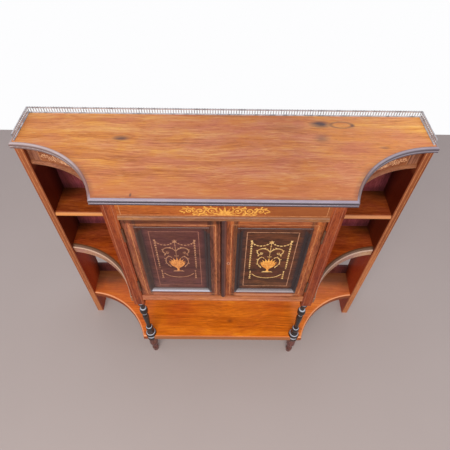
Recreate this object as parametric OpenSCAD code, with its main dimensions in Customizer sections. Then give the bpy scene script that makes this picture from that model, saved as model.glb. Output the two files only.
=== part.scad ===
// Inlaid rosewood side cabinet with concave open wings, in millimetres.
// X runs along the front, Y to the back, Z up. The origin is on the floor, below the middle.

/* [Overall] */
// Width over the top
top_w = 1070; // [1000:5:1200]
// Depth of the top at its middle
top_d = 318; // [300:2:350]
// Height of the top surface above the floor
top_z = 906; // [880:2:940]
// Thickness of the top
top_t = 17; // [15:0.5:22]
// Depth of the top at its outer ends
wing_d = 132; // [120:2:150]
// Straight width of the top's front edge
front_w = 596; // [590:2:620]
// Short straight part of the front edge at each outer corner
ear_w = 4; // [0:1:12]

/* [Top edge] */
// Width of the dark moulded border of the top
border_w = 7; // [7:0.5:12]
// Width of the joint between the border and the board inside it
border_joint = 0.2; // [0.1:0.05:0.4]
// Radius of the upper round of the moulding
thumb_r = 6; // [5:0.5:7]
// Radius of the bead under it
lip_bead_r = 3.6; // [2.5:0.1:4]
// Depth of the groove between the two
quirk_d = 2; // [1:0.25:3]
// Height of that groove
quirk_h = 1.2; // [0.8:0.1:2]

/* [Carcass] */
// Width of the cupboard over its front stiles
cupboard_w = 562; // [550:1:566]
// Distance that the top projects over the stiles at the front
front_overhang = 14.5; // [8:0.5:20]
// Distance that the top projects over the end panels at the sides
side_overhang = 5; // [2:0.5:7]
// Distance that the top projects over the back
back_overhang = 10; // [9:0.5:20]
// Distance of the end panels' front edge behind the top's
end_setback = 7.5; // [4:0.5:14]
// Thickness of the end panels
end_t = 22; // [18:1:26]
// Thickness of the cupboard's sides
side_t = 16; // [12:0.5:18]
// Width and depth of the front stiles
stile_w = 33; // [30:1:38]
// Height of the stiles' lower end above the floor
stile_z = 400; // [380:1:410]
// Thickness of the back boards
back_t = 8; // [6:0.5:10]

/* [Frieze] */
// Height of the frieze
frieze_h = 66; // [56:1:70]
// Thickness of the centre frieze rail
rail_t = 20; // [18:0.5:22]
// Thickness of the curved frieze boards
curve_t = 16; // [12:0.5:18]
// Distance of the curved frieze's outer end behind the top's edge
curve_setback = 19; // [16:0.5:22]
// Distance behind the stile's face at which the curved frieze meets the stile's side
curve_in = 15; // [12:0.5:20]
// Height of the bead along the frieze's lower edge
bead_h = 16; // [10:0.5:18]
// Projection of that bead
bead_d = 5; // [3:0.25:5.5]

/* [Shelves] */
// Height of the middle shelves and the cupboard floor
mid_z = 458; // [445:1:470]
// Thickness of the middle shelves and the cupboard floor
mid_t = 18; // [14:0.5:20]
// Height of the moulded edge on the middle shelves
mid_edge_h = 34; // [30:0.5:40]
// Width of that moulded edge
mid_edge_w = 12; // [10:0.5:14]
// Radius of the hollow along its upper corner
cove_r = 7; // [4:0.5:8]
// Distance of the middle shelves' nose behind the top's curved edge
mid_setback = 15; // [12:0.5:20]
// Height of the rail under the doors
base_rail_h = 26; // [22:0.5:32]
// Height of the upper wing shelves
upper_z = 636; // [600:2:680]
// Thickness of the upper wing shelves
upper_t = 19; // [16:0.5:22]
// Height of the lower shelf
low_z = 148; // [140:1:160]
// Thickness of the lower shelf
low_t = 26; // [20:1:28]
// Distance of the lower shelf's front edge behind the top's
low_setback = 16; // [12:0.5:18]
// Distance of the lower shelf's curves behind the top's
low_curve_setback = 10; // [9:0.5:20]
// Radius of the lower shelf's rounded edge
low_round_r = 7; // [4:0.5:9]
// Height of the low rail along the back of the lower shelf
low_rail_h = 48; // [36:1:60]
// Thickness of that rail
low_rail_t = 10; // [8:0.5:14]
// Height of the loose shelf in the cupboard
inner_z = 636; // [600:2:680]
// Thickness of the loose shelf
inner_t = 15; // [12:0.5:18]
// Distance of the loose shelf's front edge behind the stiles
inner_setback = 4; // [2:0.5:20]
// Height of the bearers under the loose shelf
bearer_h = 14; // [10:0.5:18]
// Width of the bearers
bearer_w = 12; // [8:0.5:16]

/* [Legs] */
// Radius of the cup at the lower shelf
cup_r = 19; // [17:0.5:20]
// Height of the cup
cup_h = 46; // [40:1:50]
// Height of the cup's lower end above the floor
foot_h = 114; // [104:1:118]
// Radius of the ring at the foot of the vase
collar_r = 13; // [12:0.5:15]
// Height of that ring's middle above the floor
collar_z = 192; // [184:1:196]
// Smallest radius of the vase
vase_foot_r = 7.5; // [6:0.5:9]
// Largest radius of the vase
vase_r = 10.5; // [9:0.5:12]
// Radius of the ball above the vase
ball_r = 13.5; // [12:0.5:15]
// Height of the ball
ball_h = 36; // [30:1:40]
// Height of the ball's middle above the floor
ball_z = 330; // [324:1:334]
// Radius of the necks above and below the ball
neck_r = 7.5; // [6:0.5:9]
// Radius of the ring under the stile
ring_r = 12.5; // [11:0.5:14]
// Height of that ring
ring_h = 15; // [12:1:18]
// Largest radius of the turned foot
foot_r = 16; // [14:0.5:17]
// Radius of the foot where it meets the floor
toe_r = 12; // [10:0.5:13]

/* [Doors] */
// Thickness of the doors
door_t = 20; // [18:0.5:22]
// Gap between a door and the stile, rail or base next to it
door_gap = 1; // [0.8:0.1:2]
// Gap between the two doors
meeting_gap = 2; // [1.6:0.1:3]
// Distance of that gap to the left of the middle
meeting_x = 6.7; // [5:0.1:9]
// Distance of the door's face behind the stiles' face
door_recess = 3; // [2:0.1:4]
// Width of the hinge stiles of the doors
hinge_stile_w = 33; // [28:1:36]
// Width of the doors' top rails
top_rail_w = 32; // [28:1:36]
// Width of the doors' bottom rails
bottom_rail_w = 28; // [26:1:36]
// Distance of the raised mouldings from the middle of the front
moulding_x = 34; // [32:0.5:38]
// Thickness of the door panel
panel_t = 6; // [5:0.5:7]
// Distance of the panel's face behind the door's face
panel_recess = 7; // [5:0.2:8]
// Depth of the groove that holds the panel
groove_d = 6; // [4:0.5:8]
// Clearance of the panel and of the rails' tongues in the groove
groove_play = 0.1; // [0.05:0.05:0.3]
// Width of the raised moulding round the panel
bolection_w = 14; // [12:0.5:16]
// Distance that the moulding laps over the frame
bolection_lap = 5; // [4:0.5:7]
// Height of the moulding's crest over the door's face
bolection_h = 3; // [2:0.25:4]
// Width of the half-round bead on the right door's meeting edge
astragal_w = 14; // [10:0.5:16]
// Projection of that bead
astragal_d = 6; // [4:0.25:6.5]

/* [Hinges and bolts] */
// Height of a hinge
hinge_h = 50; // [40:1:60]
// Distance of the hinges' middle from the door's top and bottom
hinge_inset = 59; // [45:1:70]
// Radius of the hinge knuckles
knuckle_r = 3; // [2.6:0.1:3.4]
// Radius of the hinge pins
pin_r = 1.5; // [1.2:0.05:1.7]
// Running clearance round the hinge pins
pin_play = 0.05; // [0.02:0.01:0.1]
// Thickness of a hinge leaf
leaf_t = 1.4; // [1:0.1:1.6]
// Depth of a hinge leaf
leaf_d = 22; // [17:1:26]
// Distance of the hinge pin in front of the stiles' face
pin_out = 0.5; // [0:0.1:1]
// Radius of the barrel bolts on the left door
bolt_r = 2.5; // [2:0.1:3]
// Length of the barrel bolts
bolt_l = 58; // [50:1:70]
// Travel of the barrel bolts
bolt_throw = 10; // [6:0.5:12]
// Distance of the barrel bolts from the left door's meeting edge
bolt_in = 17; // [10:0.5:22]
// Running clearance round the barrel bolts
bolt_play = 0.08; // [0.04:0.01:0.1]
// Clearance of the barrel bolts in the holes that they enter
bolt_hole_play = 1.2; // [1.1:0.1:1.6]
// Width of the lock case
lock_w = 27; // [24:0.5:30]
// Height of the lock case
lock_h = 36; // [30:1:44]
// Thickness of the lock case
lock_t = 9; // [8:0.5:10]
// Travel of the lock's bolt
lock_throw = 9; // [7:0.5:10]
// Height of the keyhole above the floor
keyhole_z = 640; // [600:1:680]
// Distance of the keyhole from the right door's meeting edge
keyhole_in = 20; // [18:0.5:22]

/* [Gallery] */
// Height of the gallery
gallery_h = 17.5; // [14:0.5:22]
// Distance of the side galleries from the top's side edges
gallery_inset = 12; // [8:0.25:16]
// Distance of the back gallery from the top's back edge
gallery_back_inset = 4; // [3:0.25:8]
// Radius of the small balls on the top rail
finial_r = 1.3; // [1:0.1:1.6]
// Thickness of the gallery's foot rail
gallery_foot_w = 4; // [3:0.25:4.5]
// Height of the foot rail
gallery_foot_h = 2; // [1.5:0.25:3]
// Thickness of the gallery's top rail
gallery_rail_w = 3.4; // [2.5:0.1:4]
// Height of the top rail
gallery_rail_h = 2.6; // [2:0.2:3.4]
// Distance between spindles
spindle_pitch = 7; // [6:0.25:12]
// Radius of a spindle at its middle
spindle_r = 1.5; // [1:0.1:1.7]
// Distance of the side galleries' front ends from the top's front corners
gallery_end = 11; // [8:0.5:20]

/* [Hidden] */

$fn = 96;
// Overlap of cutting shapes past the faces that they cut
eps = 1;

half_w = top_w / 2;
y_top_front = -top_d / 2;
y_top_back = top_d / 2;
y_ear = y_top_back - wing_d;
top_under = top_z - top_t;

// The concave corner: an arc that starts level at the ear and ends at the straight front
arc_x = half_w - ear_w;
arc_run = arc_x - front_w / 2;
arc_rise = y_ear - y_top_front;
arc_r = (arc_run * arc_run + arc_rise * arc_rise) / (2 * arc_rise);
arc_y = y_ear - arc_r;

y_face = y_top_front + front_overhang;
y_back = y_top_back - back_overhang;
y_back_board = y_back - back_t;
y_end_front = y_ear + end_setback;
x_end_out = half_w - side_overhang;
x_end_in = x_end_out - end_t;
x_cup = cupboard_w / 2;
x_cup_in = x_cup - side_t;
x_stile_in = x_cup - stile_w;
leg_x = x_cup - stile_w / 2;
leg_y = y_face + stile_w / 2;

// The curved frieze's arc: level at its outer end, and through the point where it meets the stile
frieze_run = arc_x - x_cup;
frieze_rise = y_ear + curve_setback - y_face - curve_in;
frieze_r = (frieze_run * frieze_run + frieze_rise * frieze_rise) / (2 * frieze_rise);
frieze_y = y_ear + curve_setback - frieze_r;

frieze_z = top_under - frieze_h;
mid_edge_z = mid_z - mid_edge_h;
low_under = low_z - low_t;
y_low_front = y_top_front + low_setback;
y_rail_back = y_face + rail_t;
clear = 0.3;

door_z0 = mid_z + door_gap;
door_z1 = frieze_z - door_gap;
y_door = y_face + door_recess;
y_door_back = y_door + door_t;
x_door_out = x_stile_in - door_gap;
left_edge = -meeting_x - meeting_gap / 2;
right_edge = -meeting_x + meeting_gap / 2;
y_panel = y_door + panel_recess;
hinge_x = x_stile_in - door_gap / 2;
hinge_y = y_face - pin_out;
hinge_front = hinge_y + knuckle_r + clear;
knuckle_gap = 0.25;
knuckle_h = (hinge_h - 2 * knuckle_gap) / 3;
leaf_gap = 0.4;

bolt_out = 6;
guide_w = 14;
guide_t = 1.5;
bolt_x = left_edge - bolt_in;
bolt_y = y_door_back + bolt_out;
bolt_start = 2;
lock_bolt_h = 8;
lock_bolt_t = 4;
lock_bolt_l = lock_throw + 10;
lock_wall = 1.5;
lock_play = 0.2;
keyhole_r = 1.7;

// Mirror image for the left-hand pieces, s = -1 left, s = 1 right
module side(s) {
    mirror([s < 0 ? 1 : 0, 0, 0]) children();
}

module box(x0, x1, y0, y1, z0, z1) {
    translate([x0, y0, z0]) cube([x1 - x0, y1 - y0, z1 - z0]);
}

// Plan of a board with two concave front corners
module concave_plan(hw, y0, y1, r) {
    difference() {
        translate([-hw, y0]) square([2 * hw, y1 - y0]);
        for (s = [-1, 1]) translate([s * arc_x, arc_y]) circle(r, $fn = 256);
    }
}

// Circle segment that bulges to -u: chord h along v from 0, rise d
module bulge(h, d) {
    r = (h * h / 4 + d * d) / (2 * d);
    intersection() {
        translate([r - d, h / 2]) circle(r);
        translate([-d - eps, 0]) square([d + eps, h]);
    }
}

// Sweeps a profile (u into the wood, v up) along the straight front edge
module along_front(y, x0, x1) {
    translate([x0, y, 0]) rotate([90, 0, 90]) linear_extrude(x1 - x0) children();
}

// Sweeps a profile along a concave arc on the right-hand side, of radius r about the point at y
module along_arc(r, y = arc_y) {
    translate([arc_x, y, 0]) rotate_extrude($fn = 256) translate([r, 0]) children();
}

// Sweeps a profile down the right-hand side edge
module along_side(x, y0, y1) {
    translate([x, y0, 0]) rotate([90, 0, 180]) linear_extrude(y1 - y0) children();
}

// Section of the top's moulded edge: a thumb, a groove and a bead
module top_section() {
    bead_top = 2 * lip_bead_r;
    translate([lip_bead_r, lip_bead_r]) circle(lip_bead_r);
    translate([lip_bead_r, 0]) square([border_w, bead_top]);
    translate([quirk_d, bead_top - eps]) square([border_w, quirk_h + 2 * eps]);
    intersection() {
        translate([thumb_r, top_t - thumb_r]) circle(thumb_r);
        translate([0, bead_top + quirk_h]) square([thumb_r, top_t]);
    }
    translate([thumb_r, bead_top]) square([border_w, top_t - bead_top]);
}

// What is cut away outside a section of height t
module outside(t, w) {
    difference() {
        translate([-2 * w, -eps]) square([3 * w, t + 2 * eps]);
        children();
    }
}

module moulded_top() {
    difference() {
        translate([0, 0, top_under]) linear_extrude(top_t)
            concave_plan(half_w, y_top_front, y_top_back, arc_r);
        translate([0, 0, top_under]) {
            along_front(y_top_front, -half_w, half_w) outside(top_t, border_w) top_section();
            for (s = [-1, 1]) side(s) {
                along_arc(arc_r) outside(top_t, border_w) top_section();
                along_side(half_w, y_top_front, y_top_back + eps) outside(top_t, border_w) top_section();
            }
        }
    }
}

// Plan of the area inside the border, drawn in by the width of the joint
module inner_plan(joint) {
    w = border_w + joint;
    concave_plan(half_w - w, y_top_front + w, y_top_back + eps, arc_r + w);
}

module top_board() {
    color("peru")
    translate([0, 0, top_under]) linear_extrude(top_t) intersection() {
        inner_plan(border_joint);
        translate([-half_w, y_top_front]) square([top_w, top_d]);
    }
}

module top_edge_moulding() {
    color("#2a2320")
    difference() {
        moulded_top();
        translate([0, 0, top_under - eps]) linear_extrude(top_t + 2 * eps) inner_plan(0);
    }
}

// One turned spindle of the gallery
module spindle() {
    z0 = gallery_foot_h;
    z1 = gallery_h - gallery_rail_h;
    mid = (z0 + z1) / 2;
    thin = spindle_r * 0.6;
    rotate_extrude($fn = 24) polygon([
        [0, z0], [spindle_r, z0], [thin, z0 + 2], [thin, mid - 3], [spindle_r, mid],
        [thin, mid + 3], [thin, z1 - 2], [spindle_r, z1], [0, z1]
    ]);
    translate([0, 0, gallery_h + finial_r * 0.6]) sphere(finial_r, $fn = 16);
}

// A run of gallery along X, from 0 to l, with rails and evenly spaced spindles
module gallery_run(l) {
    n = max(2, round(l / spindle_pitch));
    box(0, l, -gallery_foot_w / 2, gallery_foot_w / 2, 0, gallery_foot_h);
    box(0, l, -gallery_rail_w / 2, gallery_rail_w / 2, gallery_h - gallery_rail_h, gallery_h);
    for (i = [0 : n - 1]) translate([l * (i + 0.5) / n, 0, 0]) spindle();
}

gallery_x = half_w - gallery_inset;
gallery_y = y_top_back - gallery_back_inset;
gallery_half = gallery_x + gallery_foot_w / 2;
gallery_side_l = gallery_y - gallery_foot_w / 2 - y_ear - gallery_end;

module gallery_back() {
    color("darkgoldenrod")
    translate([-gallery_half, gallery_y, top_z]) gallery_run(2 * gallery_half);
}

module gallery_side(s) {
    color("darkgoldenrod")
    translate([s * gallery_x, gallery_y - gallery_foot_w / 2, top_z])
        rotate([0, 0, -90]) gallery_run(gallery_side_l);
}

module gallery_left() { gallery_side(-1); }
module gallery_right() { gallery_side(1); }

module frieze_rail() {
    color("sienna")
    box(-x_stile_in, x_stile_in, y_face, y_rail_back, frieze_z, top_under);
}

module frieze_bead() {
    color("tan")
    translate([0, 0, frieze_z]) along_front(y_face, -x_stile_in, x_stile_in) bulge(bead_h, bead_d);
}

// Space between the cupboard and an end panel, in front of the back boards
module wing_space(z0, z1) {
    box(x_cup, x_end_in, y_face, y_back_board, z0, z1);
}

module curved_frieze(s) {
    color("sienna")
    side(s) intersection() {
        translate([arc_x, frieze_y, frieze_z]) difference() {
            cylinder(h = frieze_h, r = frieze_r + curve_t, $fn = 256);
            translate([0, 0, -eps]) cylinder(h = frieze_h + 2 * eps, r = frieze_r, $fn = 256);
        }
        wing_space(frieze_z, top_under);
    }
}

module left_curved_frieze() { curved_frieze(-1); }
module right_curved_frieze() { curved_frieze(1); }

module curved_bead(s) {
    color("tan")
    side(s) intersection() {
        translate([0, 0, frieze_z]) along_arc(frieze_r, frieze_y) bulge(bead_h, bead_d);
        wing_space(frieze_z, top_under);
    }
}

module left_curved_bead() { curved_bead(-1); }
module right_curved_bead() { curved_bead(1); }

module end_panel(s) {
    color("saddlebrown")
    side(s) box(x_end_in, x_end_out, y_end_front, y_back, 0, top_under);
}

module left_end_panel() { end_panel(-1); }
module right_end_panel() { end_panel(1); }

module cupboard_side(s) {
    color("saddlebrown")
    side(s) box(x_cup_in, x_cup, y_face + stile_w, y_back, mid_edge_z, top_under);
}

module left_cupboard_side() { cupboard_side(-1); }
module right_cupboard_side() { cupboard_side(1); }

// Heights of the two hinges' middles
function hinge_heights() = [door_z0 + hinge_inset, door_z1 - hinge_inset];

module front_stile(s) {
    x_leaf = hinge_x + leaf_gap / 2;
    color("sienna")
    side(s) difference() {
        box(x_stile_in, x_cup, y_face, y_face + stile_w, stile_z, top_under);
        for (z = hinge_heights()) {
            box(x_stile_in - eps, x_leaf + leaf_t, y_face - eps, y_face + leaf_d,
                z - hinge_h / 2, z + hinge_h / 2);
            box(x_stile_in - eps, hinge_x + knuckle_r + clear, y_face - eps, hinge_front,
                z - hinge_h / 2, z + hinge_h / 2);
        }
    }
}

module left_front_stile() { front_stile(-1); }
module right_front_stile() { front_stile(1); }

// Points of a round moulding: a bulge between two heights, from radius r0 out by d
function round_pts(z0, z1, r0, d, n = 8) = [
    for (i = [0 : n]) [r0 + d * sin(180 * i / n), z0 + (z1 - z0) * (1 - cos(180 * i / n)) / 2]
];

// Points of a smooth change of radius between two heights
function ogee_pts(z0, z1, r0, r1, n = 10) = [
    for (i = [1 : n - 1]) [r0 + (r1 - r0) * (1 - cos(180 * i / n)) / 2, z0 + (z1 - z0) * i / n]
];

// Turned column: cup, collar, tapered vase, ball and ring under a short plain neck
module front_leg(s) {
    cup_in = cup_r * 0.75;
    cup_top = foot_h + cup_h;
    cup_mid = foot_h + cup_h * 0.48;
    collar_z0 = collar_z - collar_r;
    collar_z1 = collar_z + collar_r;
    ball_z0 = ball_z - ball_h / 2;
    ball_z1 = ball_z + ball_h / 2;
    vase_z0 = collar_z1 + 14;
    vase_z1 = ball_z0 - ball_h * 0.6;
    ring_z = stile_z - 12 - ring_h;
    color("#1f1b19")
    translate([s * leg_x, leg_y, 0]) rotate_extrude() polygon(concat(
        [[0, foot_h]],
        round_pts(foot_h, cup_mid, cup_in, cup_r - cup_in),
        round_pts(cup_mid + 2, cup_top, cup_in, (cup_r - cup_in) * 0.85),
        ogee_pts(cup_top, collar_z0, cup_in, collar_r * 0.7),
        round_pts(collar_z0, collar_z1, collar_r * 0.7, collar_r * 0.3),
        [[collar_r * 0.7, vase_z0 - 7], [vase_foot_r, vase_z0]],
        ogee_pts(vase_z0, vase_z1, vase_foot_r, vase_r),
        ogee_pts(vase_z1, ball_z0 - 6, vase_r, neck_r),
        [[neck_r, ball_z0 - 6], [neck_r + 2, ball_z0 - 4], [neck_r + 2, ball_z0 - 1]],
        round_pts(ball_z0, ball_z1, neck_r, ball_r - neck_r, 12),
        [[neck_r, ball_z1 + 3], [neck_r, ring_z - 3]],
        round_pts(ring_z, ring_z + ring_h, ring_r * 0.75, ring_r * 0.25),
        [[ring_r * 0.7, ring_z + ring_h + 2], [ring_r, stile_z - 8], [ring_r, stile_z], [0, stile_z]]
    ));
}

module left_front_leg() { front_leg(-1); }
module right_front_leg() { front_leg(1); }

// Turned foot under the cup
module front_foot(s) {
    toe_h = foot_h / 3;
    waist_r = toe_r * 0.75;
    belly_z = foot_h * 0.61;
    shoulder_z = foot_h * 0.88;
    color("#5a2d20")
    translate([s * leg_x, leg_y, 0]) rotate_extrude() polygon(concat(
        [[0, 0], [toe_r * 0.85, 0]],
        ogee_pts(0, toe_h * 0.6, toe_r * 0.85, toe_r),
        ogee_pts(toe_h * 0.6, toe_h, toe_r, waist_r),
        [[waist_r, toe_h], [waist_r, toe_h + 4]],
        ogee_pts(toe_h + 4, belly_z, waist_r, foot_r),
        ogee_pts(belly_z, shoulder_z, foot_r, foot_r * 0.85),
        round_pts(shoulder_z, foot_h - 3, foot_r * 0.85, foot_r * 0.2),
        [[foot_r * 0.8, foot_h], [0, foot_h]]
    ));
}

module left_front_foot() { front_foot(-1); }
module right_front_foot() { front_foot(1); }

module centre_back_board() {
    color("#4a2a1c")
    box(-x_cup_in, x_cup_in, y_back_board, y_back, mid_edge_z, top_under);
}

module wing_back(s) {
    color("#3a1c22")
    side(s) box(x_cup, x_end_in, y_back_board, y_back, mid_edge_z, top_under);
}

module left_wing_back() { wing_back(-1); }
module right_wing_back() { wing_back(1); }

module cupboard_floor() {
    color("sienna")
    difference() {
        union() {
            box(-x_cup_in, x_cup_in, y_face + stile_w, y_back_board, mid_z - mid_t, mid_z);
            box(-x_stile_in, x_stile_in, y_rail_back, y_face + stile_w + eps, mid_z - mid_t, mid_z);
        }
        translate([bolt_x, bolt_y, mid_z - mid_t - eps])
            cylinder(h = mid_t + 2 * eps, r = bolt_r + bolt_hole_play);
    }
}

// Section of the base rail: a plain face over a projecting bead
module base_section() {
    bead = base_rail_h / 3;
    square([rail_t, base_rail_h]);
    bulge(bead, bead / 4);
}

module base_rail() {
    color("sienna")
    translate([0, 0, mid_z - base_rail_h]) along_front(y_face, -x_stile_in, x_stile_in) base_section();
}

// Two blocks on the cupboard floor that stop the doors
module door_stops() {
    stop_w = 30;
    color("#5a3220")
    for (x = [-x_stile_in / 2, x_stile_in / 2])
        box(x - stop_w / 2, x + stop_w / 2, y_door_back + clear, y_door_back + clear + 10,
            mid_z, mid_z + 8);
}

module middle_shelf(s) {
    color("peru")
    side(s) difference() {
        wing_space(mid_z - mid_t, mid_z);
        translate([arc_x, arc_y, mid_z - mid_t - eps])
            cylinder(h = mid_t + 2 * eps, r = arc_r + mid_setback + mid_edge_w, $fn = 256);
    }
}

module left_middle_shelf() { middle_shelf(-1); }
module right_middle_shelf() { middle_shelf(1); }

// Section of the middle shelves' edge: a hollow over a plain fascia
module mid_edge_section() {
    difference() {
        square([mid_edge_w, mid_edge_h]);
        translate([0, mid_edge_h]) circle(cove_r);
    }
}

module middle_edge(s) {
    color("tan")
    side(s) intersection() {
        translate([0, 0, mid_edge_z]) along_arc(arc_r + mid_setback) mid_edge_section();
        wing_space(mid_edge_z, mid_z);
    }
}

module left_middle_edge() { middle_edge(-1); }
module right_middle_edge() { middle_edge(1); }

module upper_shelf(s) {
    nose = upper_t / 2;
    color("sandybrown")
    side(s) {
        box(x_cup, x_end_in, y_end_front + nose, y_back_board, upper_z - upper_t, upper_z);
        translate([x_cup, y_end_front + nose, upper_z - nose])
            rotate([0, 90, 0]) cylinder(h = x_end_in - x_cup, r = nose);
    }
}

module left_upper_shelf() { upper_shelf(-1); }
module right_upper_shelf() { upper_shelf(1); }

// Section of the lower shelf's edge: rounded above, a small round below
module low_section() {
    under_r = low_round_r / 2;
    translate([low_round_r, low_t - low_round_r]) circle(low_round_r);
    translate([under_r, under_r]) circle(under_r);
    translate([0, under_r]) square([low_round_r * 2, low_t - low_round_r - under_r]);
    translate([under_r, 0]) square([low_round_r * 2, under_r]);
    translate([low_round_r, under_r]) square([low_round_r * 2, low_t - under_r]);
}

module lower_shelf() {
    r = arc_r + low_curve_setback;
    color("peru")
    difference() {
        translate([0, 0, low_under]) linear_extrude(low_t)
            concave_plan(x_end_in, y_low_front, y_back, r);
        translate([0, 0, low_under]) {
            along_front(y_low_front, -half_w, half_w) outside(low_t, low_round_r * 2) low_section();
            for (s = [-1, 1]) side(s) along_arc(r) outside(low_t, low_round_r * 2) low_section();
        }
        for (s = [-1, 1]) translate([s * leg_x, leg_y, 0]) cylinder(h = low_z + eps, r = cup_r + clear);
    }
}

module lower_back_rail() {
    color("#2a1818")
    box(-x_end_in, x_end_in, y_back - low_rail_t, y_back, low_z, low_z + low_rail_h);
}

module loose_shelf() {
    color("sienna")
    box(-x_cup_in + clear, x_cup_in - clear, y_face + stile_w + inner_setback, y_back_board - clear,
        inner_z - inner_t, inner_z);
}

module shelf_bearers() {
    z0 = inner_z - inner_t - bearer_h;
    color("#5a3220")
    for (s = [-1, 1]) side(s)
        box(x_cup_in - bearer_w, x_cup_in, y_face + stile_w + inner_setback, y_back_board - 6,
            z0, z0 + bearer_h);
}

// Z range of knuckle k (0, 1 or 2) of a hinge whose middle is at z = 0
function knuckle_z(k) = -hinge_h / 2 + k * (knuckle_h + knuckle_gap);

// One leaf of a hinge on the right-hand side: plate at x0, with the named knuckles
module hinge_leaf(x0, knuckles, bore) {
    difference() {
        union() {
            box(x0, x0 + leaf_t, hinge_front, y_face + leaf_d, -hinge_h / 2, hinge_h / 2);
            for (k = knuckles) {
                box(x0, x0 + leaf_t, hinge_y, hinge_front + eps, knuckle_z(k), knuckle_z(k) + knuckle_h);
                translate([hinge_x, hinge_y, knuckle_z(k)]) cylinder(h = knuckle_h, r = knuckle_r);
            }
        }
        translate([hinge_x, hinge_y, -hinge_h]) cylinder(h = 2 * hinge_h, r = bore);
    }
}

module hinge_frame_leaves(s) {
    color("darkgoldenrod")
    side(s) for (z = hinge_heights()) translate([0, 0, z])
        hinge_leaf(hinge_x + leaf_gap / 2, [0, 2], pin_r);
}

module left_hinge_frame_leaves() { hinge_frame_leaves(-1); }
module right_hinge_frame_leaves() { hinge_frame_leaves(1); }

module hinge_pins(s) {
    color("goldenrod")
    side(s) for (z = hinge_heights())
        translate([hinge_x, hinge_y, z - hinge_h / 2]) cylinder(h = hinge_h, r = pin_r);
}

module left_hinge_pins() { hinge_pins(-1); }
module right_hinge_pins() { hinge_pins(1); }

module door_hinge_leaves(s) {
    color("darkgoldenrod")
    side(s) for (z = hinge_heights()) translate([0, 0, z])
        hinge_leaf(hinge_x - leaf_gap / 2 - leaf_t, [1], pin_r + pin_play);
}

module left_door_hinge_leaves() { door_hinge_leaves(-1); }
module right_door_hinge_leaves() { door_hinge_leaves(1); }

// Inner X of each door and of its panel opening, both counted towards the door's own side
function door_in(s) = s < 0 ? -left_edge : right_edge;
x_open_in = moulding_x + bolection_lap;
x_open_out = x_door_out - hinge_stile_w;
z_open_0 = door_z0 + bottom_rail_w;
z_open_1 = door_z1 - top_rail_w;
groove_y0 = y_panel - groove_play;
groove_y1 = y_panel + panel_t + groove_play;

// Keyhole along Y through whatever it is cut from
module keyhole(y0, y1) {
    translate([right_edge + keyhole_in, y1, keyhole_z]) rotate([90, 0, 0]) {
        cylinder(h = y1 - y0, r = keyhole_r);
        translate([-keyhole_r / 2, -keyhole_r * 3, 0]) cube([keyhole_r, keyhole_r * 3, y1 - y0]);
    }
}

module door_stiles(s) {
    color("sienna")
    side(s) difference() {
        union() {
            box(door_in(s), x_open_in, y_door, y_door_back, door_z0, door_z1);
            box(x_open_out, x_door_out, y_door, y_door_back, door_z0, door_z1);
        }
        box(x_open_in - groove_d, x_open_out + groove_d, groove_y0, groove_y1,
            door_z0 - eps, door_z1 + eps);
        for (z = hinge_heights())
            box(hinge_x - leaf_gap / 2 - leaf_t, x_door_out + eps, y_door - eps, y_face + leaf_d,
                z - hinge_h / 2, z + hinge_h / 2);
        if (s > 0) keyhole(y_door - eps, y_door_back + eps);
    }
}

module left_door_stiles() { door_stiles(-1); }
module right_door_stiles() { door_stiles(1); }

// One rail of width w with a tongue at each end and a groove that starts at z_groove
module door_rail(z, w, z_groove) {
    tongue = groove_d - groove_play;
    difference() {
        union() {
            box(x_open_in, x_open_out, y_door, y_door_back, z, z + w);
            box(x_open_in - tongue, x_open_out + tongue, y_panel, y_panel + panel_t, z, z + w);
        }
        box(x_open_in - groove_d, x_open_out + groove_d, groove_y0, groove_y1,
            z_groove, z_groove + groove_d + eps);
    }
}

module door_rails(s) {
    color("sienna")
    side(s) {
        door_rail(door_z0, bottom_rail_w, z_open_0 - groove_d);
        door_rail(z_open_1, top_rail_w, z_open_1 - eps);
    }
}

module left_door_rails() { door_rails(-1); }
module right_door_rails() { door_rails(1); }

module door_panel(s) {
    reach = groove_d - 0.5;
    color("#4a2620")
    side(s) box(x_open_in - reach, x_open_out + reach, y_panel, y_panel + panel_t,
        z_open_0 - reach, z_open_1 + reach);
}

module left_door_panel() { door_panel(-1); }
module right_door_panel() { door_panel(1); }

// Section of the raised moulding: u inward from its outer edge, v out from the door's face
module bolection_section() {
    crest = bolection_lap * 1.2;
    edge = bolection_w / 12;
    polygon(concat(
        [[0, 0], [0, bolection_h * 0.4]],
        [for (i = [1 : 9]) [
            crest * i / 9,
            bolection_h * (0.4 + 0.6 * sin(90 + 90 * (i - 5) / 5))
        ]],
        [for (i = [1 : 8]) [
            crest + (bolection_w - crest) * i / 8,
            bolection_h * 0.6 - (bolection_h * 0.6 + panel_recess - edge) * sin(90 * i / 8)
        ]],
        [[bolection_w, -panel_recess], [bolection_lap, -panel_recess], [bolection_lap, 0]]
    ));
}

// One mitred bar of the moulding along a side of length l, its outer edge on the X axis
module bolection_bar(l) {
    intersection() {
        rotate([90, 0, 90]) linear_extrude(l) bolection_section();
        translate([0, 0, -panel_recess - eps]) linear_extrude(panel_recess + bolection_h + 2 * eps)
            polygon([[0, 0], [l, 0], [l - bolection_w, bolection_w], [bolection_w, bolection_w]]);
    }
}

// Raised mitred moulding, w by h, drawn flat with its lower left corner at the origin
module bolection_frame(w, h) {
    bolection_bar(w);
    translate([w, 0, 0]) rotate([0, 0, 90]) bolection_bar(h);
    translate([w, h, 0]) rotate([0, 0, 180]) bolection_bar(w);
    translate([0, h, 0]) rotate([0, 0, 270]) bolection_bar(h);
}

module door_moulding(s) {
    w = x_open_out - x_open_in + 2 * bolection_lap;
    h = z_open_1 - z_open_0 + 2 * bolection_lap;
    color("#241f1e")
    side(s) translate([moulding_x, y_door, z_open_0 - bolection_lap]) rotate([90, 0, 0])
        bolection_frame(w, h);
}

module left_door_moulding() { door_moulding(-1); }
module right_door_moulding() { door_moulding(1); }

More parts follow.
